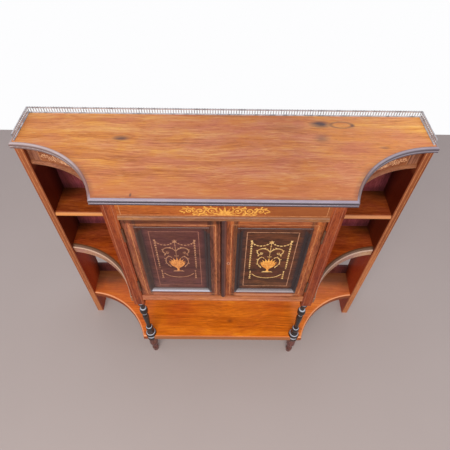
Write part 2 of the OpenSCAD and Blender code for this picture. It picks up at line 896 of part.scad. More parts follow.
module right_door_astragal() {
    color("#1f1b19")
    translate([right_edge, y_door, door_z0])
        linear_extrude(door_z1 - door_z0) translate([astragal_w, 0]) rotate(90)
            bulge(astragal_w, astragal_d);
}

module keyhole_plate() {
    plate_t = 1;
    color("goldenrod")
    difference() {
        translate([right_edge + keyhole_in, y_door, keyhole_z - 1]) rotate([90, 0, 0])
            linear_extrude(plate_t) intersection() {
                translate([-3, 0]) circle(8);
                translate([3, 0]) circle(8);
            }
        keyhole(y_door - 2 * plate_t, y_door + eps);
    }
}

lock_x0 = right_edge + 2;
lock_z0 = keyhole_z - lock_h / 2;
lock_bolt_z = keyhole_z + 2;
lock_bolt_y = y_door_back + (lock_t - lock_bolt_t) / 2;

// Hollow lock case on the inner face of the right door
module lock_case() {
    color("darkgoldenrod")
    difference() {
        box(lock_x0, lock_x0 + lock_w, y_door_back, y_door_back + lock_t, lock_z0, lock_z0 + lock_h);
        box(lock_x0 - eps, lock_x0 + lock_w - lock_wall,
            lock_bolt_y - lock_play, lock_bolt_y + lock_bolt_t + lock_play,
            lock_bolt_z - lock_play, lock_bolt_z + lock_bolt_h + lock_play);
        keyhole(y_door_back - eps, lock_bolt_y + lock_bolt_t);
    }
}

module lock_bolt() {
    color("goldenrod")
    box(right_edge + 1, right_edge + 1 + lock_bolt_l, lock_bolt_y, lock_bolt_y + lock_bolt_t,
        lock_bolt_z, lock_bolt_z + lock_bolt_h);
}

// Keeper on the left door's inner face that the lock's bolt enters
module lock_strike() {
    x1 = left_edge - 1;
    pocket_x = right_edge + 1 - lock_throw - 1.5;
    x0 = pocket_x - lock_wall;
    color("darkgoldenrod")
    difference() {
        box(x0, x1, y_door_back, y_door_back + lock_t, lock_bolt_z - 5, lock_bolt_z + lock_bolt_h + 5);
        box(pocket_x, x1 + eps,
            lock_bolt_y - lock_play, lock_bolt_y + lock_bolt_t + lock_play,
            lock_bolt_z - lock_play, lock_bolt_z + lock_bolt_h + lock_play);
    }
}

// Guide of a barrel bolt: a back plate with two drilled blocks, drawn from z = 0 up
module bolt_guide() {
    plate_h = bolt_l - bolt_throw - 4;
    block_h = 6;
    difference() {
        union() {
            box(-guide_w / 2, guide_w / 2, 0, guide_t, 0, plate_h);
            for (z = [0, plate_h - block_h])
                box(-bolt_r - 2, bolt_r + 2, 0, bolt_out + bolt_r + 1.5, z, z + block_h);
        }
        translate([0, bolt_out, -eps]) cylinder(h = plate_h + 2 * eps, r = bolt_r + bolt_play);
    }
}

// Barrel bolt with its turned knob, drawn from z = 0 up
module barrel_bolt() {
    knob_z = bolt_l / 2;
    translate([0, bolt_out, 0]) {
        cylinder(h = bolt_l, r = bolt_r);
        translate([0, 0, knob_z]) rotate([-90, 0, 0]) cylinder(h = bolt_r + 4, r = 1.6);
        translate([0, bolt_r + 5, knob_z]) sphere(2.6);
    }
}

bottom_bolt_z = door_z0 + bolt_start;
top_bolt_z = door_z1 - bolt_start - bolt_l;

module bolt_guides() {
    color("darkgoldenrod") {
        translate([bolt_x, y_door_back, bottom_bolt_z + 2]) bolt_guide();
        translate([bolt_x, y_door_back, top_bolt_z + bolt_throw + 2]) bolt_guide();
    }
}

// Block behind the frieze rail that the upper bolt enters
module bolt_keeper() {
    keeper_h = bolt_throw + 10;
    color("#5a3220")
    difference() {
        box(bolt_x - guide_w, bolt_x + guide_w, y_rail_back, bolt_y + 12, frieze_z, frieze_z + keeper_h);
        translate([bolt_x, bolt_y, frieze_z - eps])
            cylinder(h = keeper_h + 2 * eps, r = bolt_r + bolt_hole_play);
    }
}

module bottom_bolt() {
    color("goldenrod")
    translate([bolt_x, y_door_back, bottom_bolt_z]) barrel_bolt();
}

module top_bolt() {
    color("goldenrod")
    translate([bolt_x, y_door_back, top_bolt_z]) barrel_bolt();
}

top_board();
top_edge_moulding();
gallery_back();
gallery_left();
gallery_right();
frieze_rail();
frieze_bead();
left_curved_frieze();
right_curved_frieze();
left_curved_bead();
right_curved_bead();
left_end_panel();
right_end_panel();
left_cupboard_side();
right_cupboard_side();
left_front_stile();
right_front_stile();
left_front_leg();
right_front_leg();
left_front_foot();
right_front_foot();
centre_back_board();
left_wing_back();
right_wing_back();
cupboard_floor();
base_rail();
door_stops();
left_middle_shelf();
right_middle_shelf();
left_middle_edge();
right_middle_edge();
left_upper_shelf();
right_upper_shelf();
lower_shelf();
lower_back_rail();
loose_shelf();
shelf_bearers();
left_hinge_frame_leaves();
right_hinge_frame_leaves();
left_hinge_pins();
right_hinge_pins();
left_door_stiles();
right_door_stiles();
left_door_rails();
right_door_rails();
left_door_panel();
right_door_panel();
left_door_moulding();
right_door_moulding();
left_door_hinge_leaves();
right_door_hinge_leaves();
right_door_astragal();
keyhole_plate();
lock_case();
lock_bolt();
lock_strike();
bolt_guides();
bolt_keeper();
top_bolt();
bottom_bolt();
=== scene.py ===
import math

import bpy
from mathutils import Matrix, Vector


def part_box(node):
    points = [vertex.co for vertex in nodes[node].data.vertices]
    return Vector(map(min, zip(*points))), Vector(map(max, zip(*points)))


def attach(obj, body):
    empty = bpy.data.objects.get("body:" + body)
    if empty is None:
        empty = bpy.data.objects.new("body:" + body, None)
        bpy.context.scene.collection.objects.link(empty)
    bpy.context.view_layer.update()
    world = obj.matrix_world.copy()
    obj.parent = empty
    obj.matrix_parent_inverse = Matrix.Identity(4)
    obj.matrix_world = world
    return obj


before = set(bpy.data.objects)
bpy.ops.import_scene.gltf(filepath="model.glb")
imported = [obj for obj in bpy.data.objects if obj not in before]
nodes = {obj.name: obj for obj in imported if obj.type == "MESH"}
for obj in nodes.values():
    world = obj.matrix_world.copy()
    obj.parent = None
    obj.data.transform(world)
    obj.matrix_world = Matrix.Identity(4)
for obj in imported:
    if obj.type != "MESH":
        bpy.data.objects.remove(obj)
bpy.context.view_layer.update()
print("frame loaded:", len(nodes), "nodes")


# where the photograph was taken from
cameraView = {
    "place": (-0.00009, -0.7373, 1.54018),   # metres
    # degrees below the horizon, to the right, and about the line of sight
    "down": 51.02, "turn": 0.339, "tilt": 0.866,
    "lens": 31.536, "sensor": 36.0,   # millimetres
}


def put(name, data):
    holder = bpy.data.objects.new(name, data)
    bpy.context.scene.collection.objects.link(holder)
    return holder


def placeCamera(view):
    data = bpy.data.cameras.new("camera")
    data.sensor_width = view["sensor"]
    data.lens = view["lens"]
    holder = put("camera", data)
    down, turn, tilt = (math.radians(view[k]) for k in ("down", "turn", "tilt"))
    turned = (Matrix.Rotation(-turn, 4, "Z") @ Matrix.Rotation(math.pi / 2 - down, 4, "X")
              @ Matrix.Rotation(tilt, 4, "Z"))
    holder.matrix_world = Matrix.Translation(view["place"]) @ turned
    bpy.context.scene.camera = holder


placeCamera(cameraView)
print("camera placed")


def tint(colour):
    # screen colour 0..255 to the linear colour that a shader takes
    shares = [c / 255 for c in colour]
    return (*[c / 12.92 if c <= 0.04045 else ((c + 0.055) / 1.055) ** 2.4 for c in shares], 1.0)


class Wire:
    # one socket, so that shader maths reads as plain sums
    def __init__(self, shader, socket):
        self.shader = shader
        self.socket = socket

    def sums(self, operation, *terms, clamp=False):
        settings = {"operation": operation, "use_clamp": clamp}
        return self.shader.node("ShaderNodeMath", settings, dict(enumerate(terms)))

    def __add__(self, other):
        return self.sums("ADD", self, other)

    def __sub__(self, other):
        return self.sums("SUBTRACT", self, other)

    def __rsub__(self, other):
        return self.sums("SUBTRACT", other, self)

    def __mul__(self, other):
        return self.sums("MULTIPLY", self, other)

    def __truediv__(self, other):
        return self.sums("DIVIDE", self, other)

    def __rtruediv__(self, other):
        return self.sums("DIVIDE", other, self)

    __radd__, __rmul__ = __add__, __mul__

    def __abs__(self):
        return self.sums("ABSOLUTE", self)

    def root(self):
        return self.sums("SQRT", self)

    def clamped(self):
        return self.sums("ADD", self, 0.0, clamp=True)

    def largest(self, other):
        return self.sums("MAXIMUM", self, other)

    def smallest(self, other):
        return self.sums("MINIMUM", self, other)

    def step(self, low, high):
        # 0 below low, 1 above high, smooth between
        settings = {"interpolation_type": "SMOOTHSTEP"}
        return self.shader.node("ShaderNodeMapRange", settings, {0: self, 1: low, 2: high, 3: 0.0, 4: 1.0})

    def within(self, low, high, soft):
        # 1 between low and high, with soft edges
        return self.step(low - soft, low + soft) * (1 - self.step(high - soft, high + soft))


class Shader:
    # adds nodes to a tree
    def __init__(self, tree):
        self.tree = tree

    def join(self, socket, value):
        # a link from a wire, or else a constant
        if isinstance(value, Wire):
            self.tree.links.new(value.socket, socket)
        else:
            socket.default_value = value

    def node(self, kind, settings=None, inputs=None, out=0):
        made = self.tree.nodes.new(kind)
        for key, value in (settings or {}).items():
            if key == "stops":
                ramp = made.color_ramp
                while len(ramp.elements) < len(value):
                    ramp.elements.new(1.0)
                for element, (place, colour) in zip(ramp.elements, value):
                    element.position = place
                    element.color = colour
            else:
                setattr(made, key, value)
        for key, value in (inputs or {}).items():
            self.join(made.inputs[key], value)
        return Wire(self, made.outputs[out]) if made.outputs else None


class Finish(Shader):
    # a material with the principled surface
    def __init__(self, name):
        self.material = bpy.data.materials.new(name)
        self.material.use_nodes = True
        super().__init__(self.material.node_tree)
        self.surface = self.tree.nodes["Principled BSDF"]
        # the point on the piece, in metres, which moves with the piece
        self.place = self.node("ShaderNodeTexCoord", out="Object")
        self.spot = self.split(self.place)

    def upward(self):
        # 1 where the surface looks straight up, -1 where it looks down
        return self.split(self.node("ShaderNodeTexCoord", out="Normal"))[2]

    def split(self, vector):
        return [self.node("ShaderNodeSeparateXYZ", None, {0: vector}, i) for i in range(3)]

    def stretched(self, vector, factors, shift=(0.0, 0.0, 0.0)):
        return self.node("ShaderNodeVectorMath", {"operation": "MULTIPLY_ADD"}, {0: vector, 1: factors, 2: shift})

    def noise(self, vector, scale, detail=4.0, roughness=0.55, distortion=0.0, out=0):
        return self.node("ShaderNodeTexNoise", None, {
            "Vector": vector, "Scale": scale, "Detail": detail,
            "Roughness": roughness, "Distortion": distortion}, out)

    def bands(self, vector, scale, distortion):
        settings = {"wave_type": "BANDS", "bands_direction": "DIAGONAL"}
        return self.node("ShaderNodeTexWave", settings, {
            "Vector": vector, "Scale": scale, "Distortion": distortion,
            "Detail": 3.0, "Detail Scale": 1.3, "Detail Roughness": 0.6}, 1)

    def mix(self, mask, first, second, blend="MIX"):
        return self.node("ShaderNodeMix", {"data_type": "RGBA", "blend_type": blend}, {0: mask, 6: first, 7: second}, 2)

    def paint(self, mask, colour, other):
        # a screen colour where the mask is 1
        return self.mix(mask, colour, tint(other))

    def shade(self, mask, colour, factor):
        # multiplies the colour where the mask is 1, so that the grain stays
        return self.mix(mask, colour, (*factor, 1.0), "MULTIPLY")

    def ramp(self, value, stops):
        return self.node("ShaderNodeValToRGB", {"stops": stops}, {0: value})

    def feed(self, **values):
        names = {"colour": "Base Color", "roughness": "Roughness", "metallic": "Metallic", "coat": "Coat Weight",
                 "coatRoughness": "Coat Roughness", "specular": "Specular IOR Level"}
        for key, value in values.items():
            self.join(self.surface.inputs[names[key]], value)

    def relief(self, height, distance):
        bump = self.node("ShaderNodeBump", None, {"Strength": 1.0, "Distance": distance, "Height": height})
        self.join(self.surface.inputs["Normal"], bump)


# how far each pattern is stretched along the grain
grainRuns = {"x": (0.10, 1.0, 1.0), "long": (0.045, 1.0, 1.0), "z": (1.0, 1.0, 0.10)}

# what a wood has where its own entry doesn't say
usualWood = {
    "run": "x", "figure": 10.0, "rings": 12.0, "streaks": 120.0, "contrast": 0.9, "hues": 0.5, "roughness": 0.45,
    "coat": 0.1, "pores": 0.3,
}

# the screen colours of each wood at its darkest, usual and lightest, and of its redder patches
woods = {
    "top": {
        "colours": [(187, 107, 56), (233, 149, 84), (255, 189, 111), (219, 122, 74)], "run": "long", "figure": 9.0,
        "rings": 9.0, "streaks": 85.0, "contrast": 0.66, "hues": 0.7, "roughness": 0.46, "pores": 0.16,
    },
    "frieze": {
        "colours": [(136, 64, 21), (173, 90, 36), (192, 114, 50), (152, 69, 29)], "rings": 14.0, "streaks": 110.0,
        "contrast": 0.8,
    },
    "curvedFrieze": {
        "colours": [(114, 57, 30), (148, 84, 47), (169, 106, 65), (130, 63, 40)], "rings": 14.0, "streaks": 110.0,
        "contrast": 0.8,
    },
    "bead": {
        "colours": [(118, 71, 40), (153, 99, 64), (175, 121, 82), (132, 76, 47)], "figure": 8.0, "roughness": 0.4,
        "coat": 0.2,
    },
    "stile": {
        "colours": [(98, 37, 14), (140, 62, 27), (165, 83, 41), (126, 46, 22)], "run": "z", "figure": 12.0,
        "rings": 16.0, "roughness": 0.46, "pores": 0.4,
    },
    "endPanel": {
        "colours": [(97, 39, 14), (141, 72, 38), (166, 97, 57), (123, 55, 29)], "run": "z", "figure": 8.0,
        "rings": 10.0, "streaks": 100.0, "contrast": 1.1, "roughness": 0.48, "coat": 0.08, "pores": 0.4,
    },
    "cupboardSide": {
        "colours": [(106, 38, 10), (149, 67, 26), (180, 92, 42), (131, 51, 21)], "figure": 7.0, "rings": 10.0,
        "streaks": 90.0, "contrast": 0.65, "hues": 0.9, "roughness": 0.46, "pores": 0.2,
    },
    "middleEdge": {
        "colours": [(134, 92, 68), (180, 130, 102), (204, 158, 130), (156, 104, 78)], "figure": 8.0, "contrast": 0.8,
        "roughness": 0.42, "coat": 0.2,
    },
    "lowShelf": {
        "colours": [(180, 81, 8), (231, 118, 24), (255, 154, 42), (209, 93, 16)], "run": "long", "figure": 8.0,
        "rings": 8.0, "streaks": 75.0, "contrast": 0.55, "hues": 0.9, "roughness": 0.42, "coat": 0.12, "pores": 0.15,
    },
    "baseRail": {
        "colours": [(137, 76, 45), (178, 106, 67), (201, 130, 88), (161, 85, 55)], "figure": 9.0, "streaks": 110.0,
        "contrast": 0.8, "roughness": 0.44,
    },
    "leftStile": {
        "colours": [(98, 49, 30), (137, 75, 50), (166, 100, 66), (122, 60, 40)], "run": "z", "figure": 12.0,
        "rings": 16.0, "pores": 0.4,
    },
    "rightStile": {
        "colours": [(100, 47, 22), (143, 74, 39), (171, 100, 54), (126, 57, 29)], "run": "z", "figure": 12.0,
        "rings": 16.0, "pores": 0.4,
    },
    # paler and hazier than the right panel: a painted reflection on the polish
    "panelLeft": {
        "colours": [(59, 31, 28), (86, 47, 41), (108, 64, 54), (89, 41, 41)], "streaks": 110.0, "contrast": 0.8,
        "hues": 0.3, "roughness": 0.42, "coat": 0.15,
    },
    "panelRight": {
        "colours": [(53, 27, 15), (86, 46, 26), (110, 61, 35), (89, 39, 26)], "streaks": 110.0, "hues": 0.3,
        "roughness": 0.42, "coat": 0.15,
    },
    "wingBack": {
        "colours": [(75, 29, 31), (124, 56, 60), (162, 82, 84), (118, 43, 42)], "run": "z", "figure": 6.0, "rings": 8.0,
        "streaks": 70.0, "contrast": 0.5, "roughness": 0.55, "coat": 0.0, "pores": 0.4,
    },
    "inside": {
        "colours": [(90, 46, 26), (132, 76, 44), (166, 104, 66), (118, 60, 38)], "figure": 7.0, "rings": 9.0,
        "streaks": 80.0, "roughness": 0.6, "coat": 0.0, "pores": 0.5,
    },
    "foot": {
        "colours": [(54, 26, 22), (104, 62, 54), (146, 96, 84), (104, 48, 44)], "run": "z", "figure": 20.0,
        "rings": 14.0, "contrast": 1.0, "roughness": 0.4, "coat": 0.3,
    },
}
# pieces of the same wood
woods["middleShelf"] = woods["upperShelf"] = woods["cupboardSide"]
for side in ("left", "right"):
    woods[side + "Rail"] = {**woods[side + "Stile"], "run": "x"}


# for all woods: weight of each pattern in the tone, shares of the colour where it turns yellower or duller,
# and how dark the pores are
grain = {
    "figure": 0.8, "rings": 0.22, "streaks": 1.1, "fine": 1.2, "redPatches": 0.5,
    "yellower": (1.05, 1.04, 0.62), "duller": (0.95, 0.88, 1.22), "poreShade": 0.45,
    "bend": (0.05, 0.05, 0.05), "bump": 0.00010,
}


def woodFinish(name, word):
    s = Finish(name)
    look = {**usualWood, **woods[word]}
    run = grainRuns[look["run"]]
    seed = sum(ord(letter) for letter in name) * 0.37
    bent = s.stretched(s.noise(s.place, 2.6, 2.0, out=1), grain["bend"], s.place)
    along = s.stretched(bent, run, (seed, seed * 0.7, seed * 1.3))
    figure = s.noise(along, look["figure"], 5.0, 0.55, 0.6)
    rings = s.bands(along, look["rings"], 6.0)
    streaks = s.noise(along, look["streaks"], 5.0, 0.62)
    fine = s.noise(along, look["streaks"] * 4, 3.0, 0.6)
    patches = s.noise(s.stretched(s.place, tuple(0.4 + 0.6 * r for r in run), (seed, 0.0, 0.0)), 6.0, 3.0)
    spread = ((figure - 0.5) * grain["figure"] + (rings - 0.5) * grain["rings"]
              + (streaks - 0.5) * grain["streaks"] + (fine - 0.5) * grain["fine"])
    tone = 0.5 + spread * look["contrast"]
    dark, middle, light, red = look["colours"]
    colour = s.ramp(tone, [(0.18, tint(dark)), (0.5, tint(middle)), (0.82, tint(light))])
    colour = s.paint(patches.step(0.45, 0.75) * grain["redPatches"], colour, red)
    hue = s.noise(s.stretched(s.place, tuple(0.5 + 0.5 * r for r in run), (0.0, seed, seed)), 24.0, 3.0, 0.6)
    colour = s.shade(hue.step(0.50, 0.66) * look["hues"], colour, grain["yellower"])
    colour = s.shade((1 - hue.step(0.36, 0.50)) * look["hues"], colour, grain["duller"])
    # open pores: short dark dashes along the grain
    short = tuple(r if r == 1.0 else 0.22 for r in run)
    pores = s.noise(s.stretched(s.place, short, (seed, seed, 0.0)), 420.0, 1.0, 0.5).step(0.60, 0.72)
    colour = s.paint(pores * look["pores"], colour, [c * grain["poreShade"] for c in dark])
    colour = touched(s, colour, word)
    s.feed(colour=colour, roughness=(look["roughness"] - 0.08 + streaks * 0.16 + pores * 0.15), coat=look["coat"],
           coatRoughness=0.2, specular=0.18)
    s.relief(streaks * 0.4 + fine * 0.3 - pores * 0.8, grain["bump"])
    return s.material


# places on the cabinet, in metres
cabinet = {
    "halfWidth": 0.535, "front": -0.159, "arcCentre": (0.531, -0.2119), "arcRadius": 0.2389,
    "doorMiddle": 0.1265, "corner": (0.512, 0.155), "cornerSize": (0.120, 0.075),
    # soft borders, as a pair: where the lower shelf's wings start, and the arcs of the top's edge
    "wings": (0.250, 0.285), "arcs": (0.293, 0.300),
}


def distance(across, down):
    return (across * across + down * down).root()


def ovalReach(s, centre, size):
    # 0 at the centre of an oval and 1 on its edge
    return distance((s.spot[0] - centre[0]) / size[0], (s.spot[1] - centre[1]) / size[1])


def ovalSpot(s, centre, size):
    return 1 - ovalReach(s, centre, size).step(0.0, 1.0)


def arcReach(s):
    # distance from the centre of the nearer arc of the top
    return distance(abs(s.spot[0]) - cabinet["arcCentre"][0], s.spot[1] - cabinet["arcCentre"][1])


def cornerShadeReach(s):
    # from 0 where shelf, end and back meet to 1 at the end of the painted shade in that corner
    return distance((abs(s.spot[0]) - cabinet["corner"][0]) / cabinet["cornerSize"][0],
                    (s.spot[1] - cabinet["corner"][1]) / cabinet["cornerSize"][1])


# what the border of a mark is measured along
measures = {
    "x": lambda s: s.spot[0], "y": lambda s: s.spot[1], "z": lambda s: s.spot[2], "up": Finish.upward,
    "away": lambda s: abs(s.spot[0]), "fromDoorMiddle": lambda s: abs(abs(s.spot[0]) - cabinet["doorMiddle"]),
    "soot": cornerShadeReach,
}
# soft borders at the middle of the cabinet, for marks on one half only
leftHalf, rightHalf = (0.01, -0.01), (-0.01, 0.01)
# the inner side and the front edge of an end panel
sheltered, frontEdge = {"away": (0.5095, 0.5085)}, {"y": (0.0365, 0.0355)}
# the front face of the doors, and its foot between the outer stiles
doorFace = {"y": (-0.1400, -0.1412)}
doorFoot = {**doorFace, "z": (0.476, 0.468), "away": (0.225, 0.205)}
# the front edge of an upper shelf
nose = {"y": (0.0415, 0.0350), "z": (0.617, 0.624)}
# painted shade in the corner where shelf, end and back meet
soot = ("shade", (0.22, 0.24, 0.30), {"soot": (1.0, 0.25)})
# painted shade on the panel beside the moulding
besideMoulding = ("paint", (48, 39, 42), {"fromDoorMiddle": (0.064, 0.082)}, 0.7)

# Marks on the finishes, in order: paint has a screen colour and shade has shares of the wood's own colour.
# Then come the borders, each as (begins, is full) or (low, high, softness) in metres, and the strength.
marks = {
    "frieze": {
        "browner right half": ("paint", (141, 77, 39), {"x": (-0.02, 0.16)}, 0.75),
    },
    "bead": {
        # painted highlight along the lower part of the round bead
        "foot": ("paint", (180, 129, 94), {"z": (0.833, 0.822)}, 0.5),
        "curved beads": ("shade", (1.0, 0.90, 0.98), {"away": (0.270, 0.290)}),
        # painted shade over the bead's crest
        "crest": ("paint", (131, 79, 46), {"z": (0.831, 0.839)}, 0.35),
        "crest on the right": ("paint", (131, 79, 46), {"z": (0.831, 0.839), "x": (-0.02, 0.10)}, 0.615),
    },
    "upperShelf": {
        # painted shade towards the back
        "back": ("shade", (0.72, 0.74, 0.86), {"y": (0.06, 0.14)}),
        "soot": soot,
        # painted highlight along the rounded front edge
        "left nose highlight": ("paint", (224, 150, 84), {**nose, "x": leftHalf}, 0.92),
        "right nose highlight": ("paint", (210, 141, 91), {**nose, "x": rightHalf}, 0.92),
        # painted shade under the front edge
        "underside": ("paint", (120, 56, 38), {"z": (0.621, 0.6155)}, 0.6),
    },
    "middleShelf": {
        # painted light towards the front and painted shade towards the back
        "front": ("shade", (1.30, 1.12, 0.80), {"y": (0.12, 0.03)}),
        "back": ("shade", (0.80, 0.82, 0.92), {"y": (0.11, 0.15)}),
        "soot": soot,
    },
    "middleEdge": {
        # painted highlight on the arris
        "arris": ("paint", (250, 214, 186), {"z": (0.4480, 0.4512, 0.0008)}, 0.9),
        # painted shade in the hollow
        "hollow": ("paint", (104, 74, 56), {"z": (0.4512, 0.4520)}, 0.95),
        "flat": ("paint", (116, 70, 42), {"up": (0.9, 0.98), "z": (0.4565, 0.4575)}),
        # painted shade beside the stile
        "beside the stile": ("shade", (0.62, 0.50, 0.42), {"away": (0.300, 0.283)}),
        "right": ("shade", (0.86, 0.90, 0.96), {"x": rightHalf}),
    },
    "lowShelf": {
        "wings": ("shade", (0.98, 0.82, 0.98), {"away": cabinet["wings"]}),
        "right wing": ("shade", (1.10, 1.36, 2.70), {"x": cabinet["wings"]}),
        # painted shade towards the back of the wings
        "back of the wings": ("shade", (0.70, 0.66, 0.95), {"away": cabinet["wings"], "y": (-0.02, 0.07)}),
        # painted shade under the lip of the wings, and a painted highlight along the lip
        "dark edge of the wings": ("shade", (0.36, 0.36, 0.60), {"z": (0.1455, 0.1430), "away": cabinet["wings"]}),
        "pale lip of the wings": ("paint", (240, 172, 124),
                                  {"z": (0.1450, 0.1475, 0.0008), "away": cabinet["wings"]}, 0.8),
        "front": ("paint", (149, 94, 57), {"z": (0.1480, 0.1450), "away": cabinet["wings"][::-1]}, 0.85),
    },
    "endPanel": {
        # painted shade on the inner side, inside the wing: darker under the top and at the back, lighter low down
        "sheltered side": ("paint", (98, 30, 8), sheltered, 0.85),
        "its upper part": ("shade", (0.80, 0.62, 0.50), {**sheltered, "z": (0.45, 0.75)}),
        "its lower part": ("shade", (2.4, 2.0, 1.35), {**sheltered, "z": (0.46, 0.38)}),
        "its back": ("shade", (0.34, 0.32, 0.36), {**sheltered, "y": (0.085, 0.140)}),
        "under the frieze": ("paint", (128, 62, 34), {**sheltered, "z": (0.800, 0.815), "y": (0.070, 0.060)}),
        "worn front edge": ("paint", (172, 98, 56), frontEdge, 0.5),
        "left foot": ("shade", (1.30, 1.46, 1.50), {**frontEdge, "z": (0.22, 0.10), "x": leftHalf}),
        "right foot": ("shade", (1.30, 1.46, 1.50), {**frontEdge, "z": (0.50, 0.38), "x": rightHalf}),
        "outer right": ("shade", (0.84, 0.80, 0.74), {**frontEdge, "x": (0.5165, 0.5195), "z": (0.38, 0.50)}),
        "inner arris": ("shade", (0.62, 0.50, 0.42), {**frontEdge, "away": (0.5130, 0.5085)}),
    },
    "leftStile": {
        # painted shade beside the meeting stile
        "meeting stile": ("shade", (0.66, 0.64, 0.62), {**doorFace, "x": (-0.0085, -0.0105), "away": (0.0185, 0.0155)}),
        # dark gaps at the left door's outer edge and top, deepened by painted shadow of the stile and the bead
        "outer gap": ("shade", (0.36, 0.32, 0.30), {**doorFace, "away": (0.2405, 0.2455)}, 0.8),
        "gap above": ("shade", (0.36, 0.32, 0.30), {**doorFace, "z": (0.8040, 0.8085), "away": (0.2455, 0.2405)}, 0.8),
        "worn foot": ("paint", (172, 112, 88), {**doorFoot, "x": (-0.030, -0.045)}, 0.6),
    },
    "rightStile": {
        # painted shade along the right door's outer edge, beside the stile
        "outer edge": ("shade", (0.72, 0.68, 0.66), {**doorFace, "away": (0.238, 0.247)}),
        "worn foot": ("paint", (198, 132, 98), {**doorFoot, "x": (0.030, 0.045)}, 0.8),
    },
    "panelLeft": {
        "foot": ("shade", (1.62, 1.95, 2.05), {"z": (0.560, 0.500)}),
        "beside the moulding": besideMoulding,
    },
    "panelRight": {
        "foot": ("shade", (1.30, 1.62, 1.80), {"z": (0.560, 0.500)}),
        "beside the moulding": besideMoulding,
    },
    "wingBack": {
        # painted shade in the outer corner, over both shelves and on the low rail
        "outer corner": ("shade", (0.40, 0.36, 0.38), {"away": (0.45, 0.508)}),
        "over the upper shelf": ("shade", (0.60, 0.58, 0.60), {"z": (0.630, 0.655, 0.012)}),
        "over the middle shelf": ("shade", (0.60, 0.58, 0.60), {"z": (0.455, 0.475, 0.012)}),
        "low rail": ("shade", (0.50, 0.56, 0.42), {"z": (0.36, 0.30)}),
        "unstained side to the wall": ("shade", (1.10, 1.60, 0.72), {"y": (0.1570, 0.1580)}),
    },
    "moulding": {
        "inner slope": ("paint", (98, 60, 50), {"fromDoorMiddle": (0.078, 0.064)}, 0.6),
        "outer left bar": ("shade", (1.8, 1.5, 1.1), {"x": (-0.195, -0.205)}),
        # painted shade on the upper bars, and a painted reflection on the lower bars
        "upper bars": ("paint", (82, 40, 24), {"z": (0.770, 0.778)}, 0.9),
        "lower bars": ("paint", (110, 104, 108), {"z": (0.500, 0.486)}, 0.7),
        "right door": ("shade", (0.76, 0.76, 0.80), {"x": rightHalf}),
    },
    # the painted highlight on the right door's mouldings is darker
    "mouldingBloom": {
        "right door": ("shade", (0.70, 0.58, 0.50), {"x": rightHalf}),
    },
    "astragal": {
        # redder and lighter over its right half
        "redder right half": ("paint", (120, 66, 52), {"x": (0.0005, 0.0065)}, 0.9),
    },
}
for side in ("left", "right"):
    marks[side + "Rail"] = marks[side + "Stile"]


def inBorders(s, borders):
    # 1 where all borders are passed
    mask = 1.0
    for word, border in borders.items():
        wire = measures[word](s)
        mask = (wire.within(*border) if len(border) == 3 else wire.step(*border)) * mask
    return mask


def marked(s, colour, word):
    for kind, value, borders, *strength in marks.get(word, {}).values():
        lay = s.paint if kind == "paint" else s.shade
        colour = lay(inBorders(s, borders) * (strength or [1.0])[0], colour, value)
    return colour


def touched(s, colour, word):
    if word in touches:
        colour = touches[word](s, colour)
    return marked(s, colour, word)


topMarks = {
    # centre x, y, size x, y in metres, strength
    "knots": [
        (-0.260, 0.053, 0.032, 0.014, 0.95), (0.250, 0.118, 0.038, 0.021, 1.15), (0.246, 0.060, 0.028, 0.026, 0.50),
        (0.398, 0.026, 0.018, 0.008, 0.50), (-0.206, -0.142, 0.004, 0.009, 0.95), (0.0, 0.149, 0.12, 0.004, 0.45),
        (-0.10, 0.035, 0.10, 0.004, 0.25), (0.334, 0.114, 0.009, 0.010, 0.85), (0.16, 0.100, 0.07, 0.030, 0.20),
    ],
    "ringStains": [(0.305, 0.116, 0.032, 0.015, 0.60)],
    "knotColour": (96, 72, 70),
    # from the left end to the right end, as shares of the wood's own colour
    "across": [(0.02, (0.84, 0.82, 0.84)), (0.20, (0.84, 0.82, 0.82)), (0.42, (0.74, 0.70, 0.86)),
               (0.64, (0.66, 0.60, 0.80)), (0.80, (0.88, 0.95, 1.08)), (0.96, (1.04, 1.14, 1.12))],
    "front": {"colour": (204, 120, 66), "strength": 0.45, "border": (-0.150, -0.060)},
    # along the border of the top, as distances from it, and weaker towards the back
    "dirt": {"factor": (0.70, 0.72, 0.92), "strength": 0.95, "border": (0.007, 0.021), "back": (-0.07, 0.01)},
    "flecks": {"colour": (240, 190, 132), "strength": 0.22, "scale": 190.0},
}


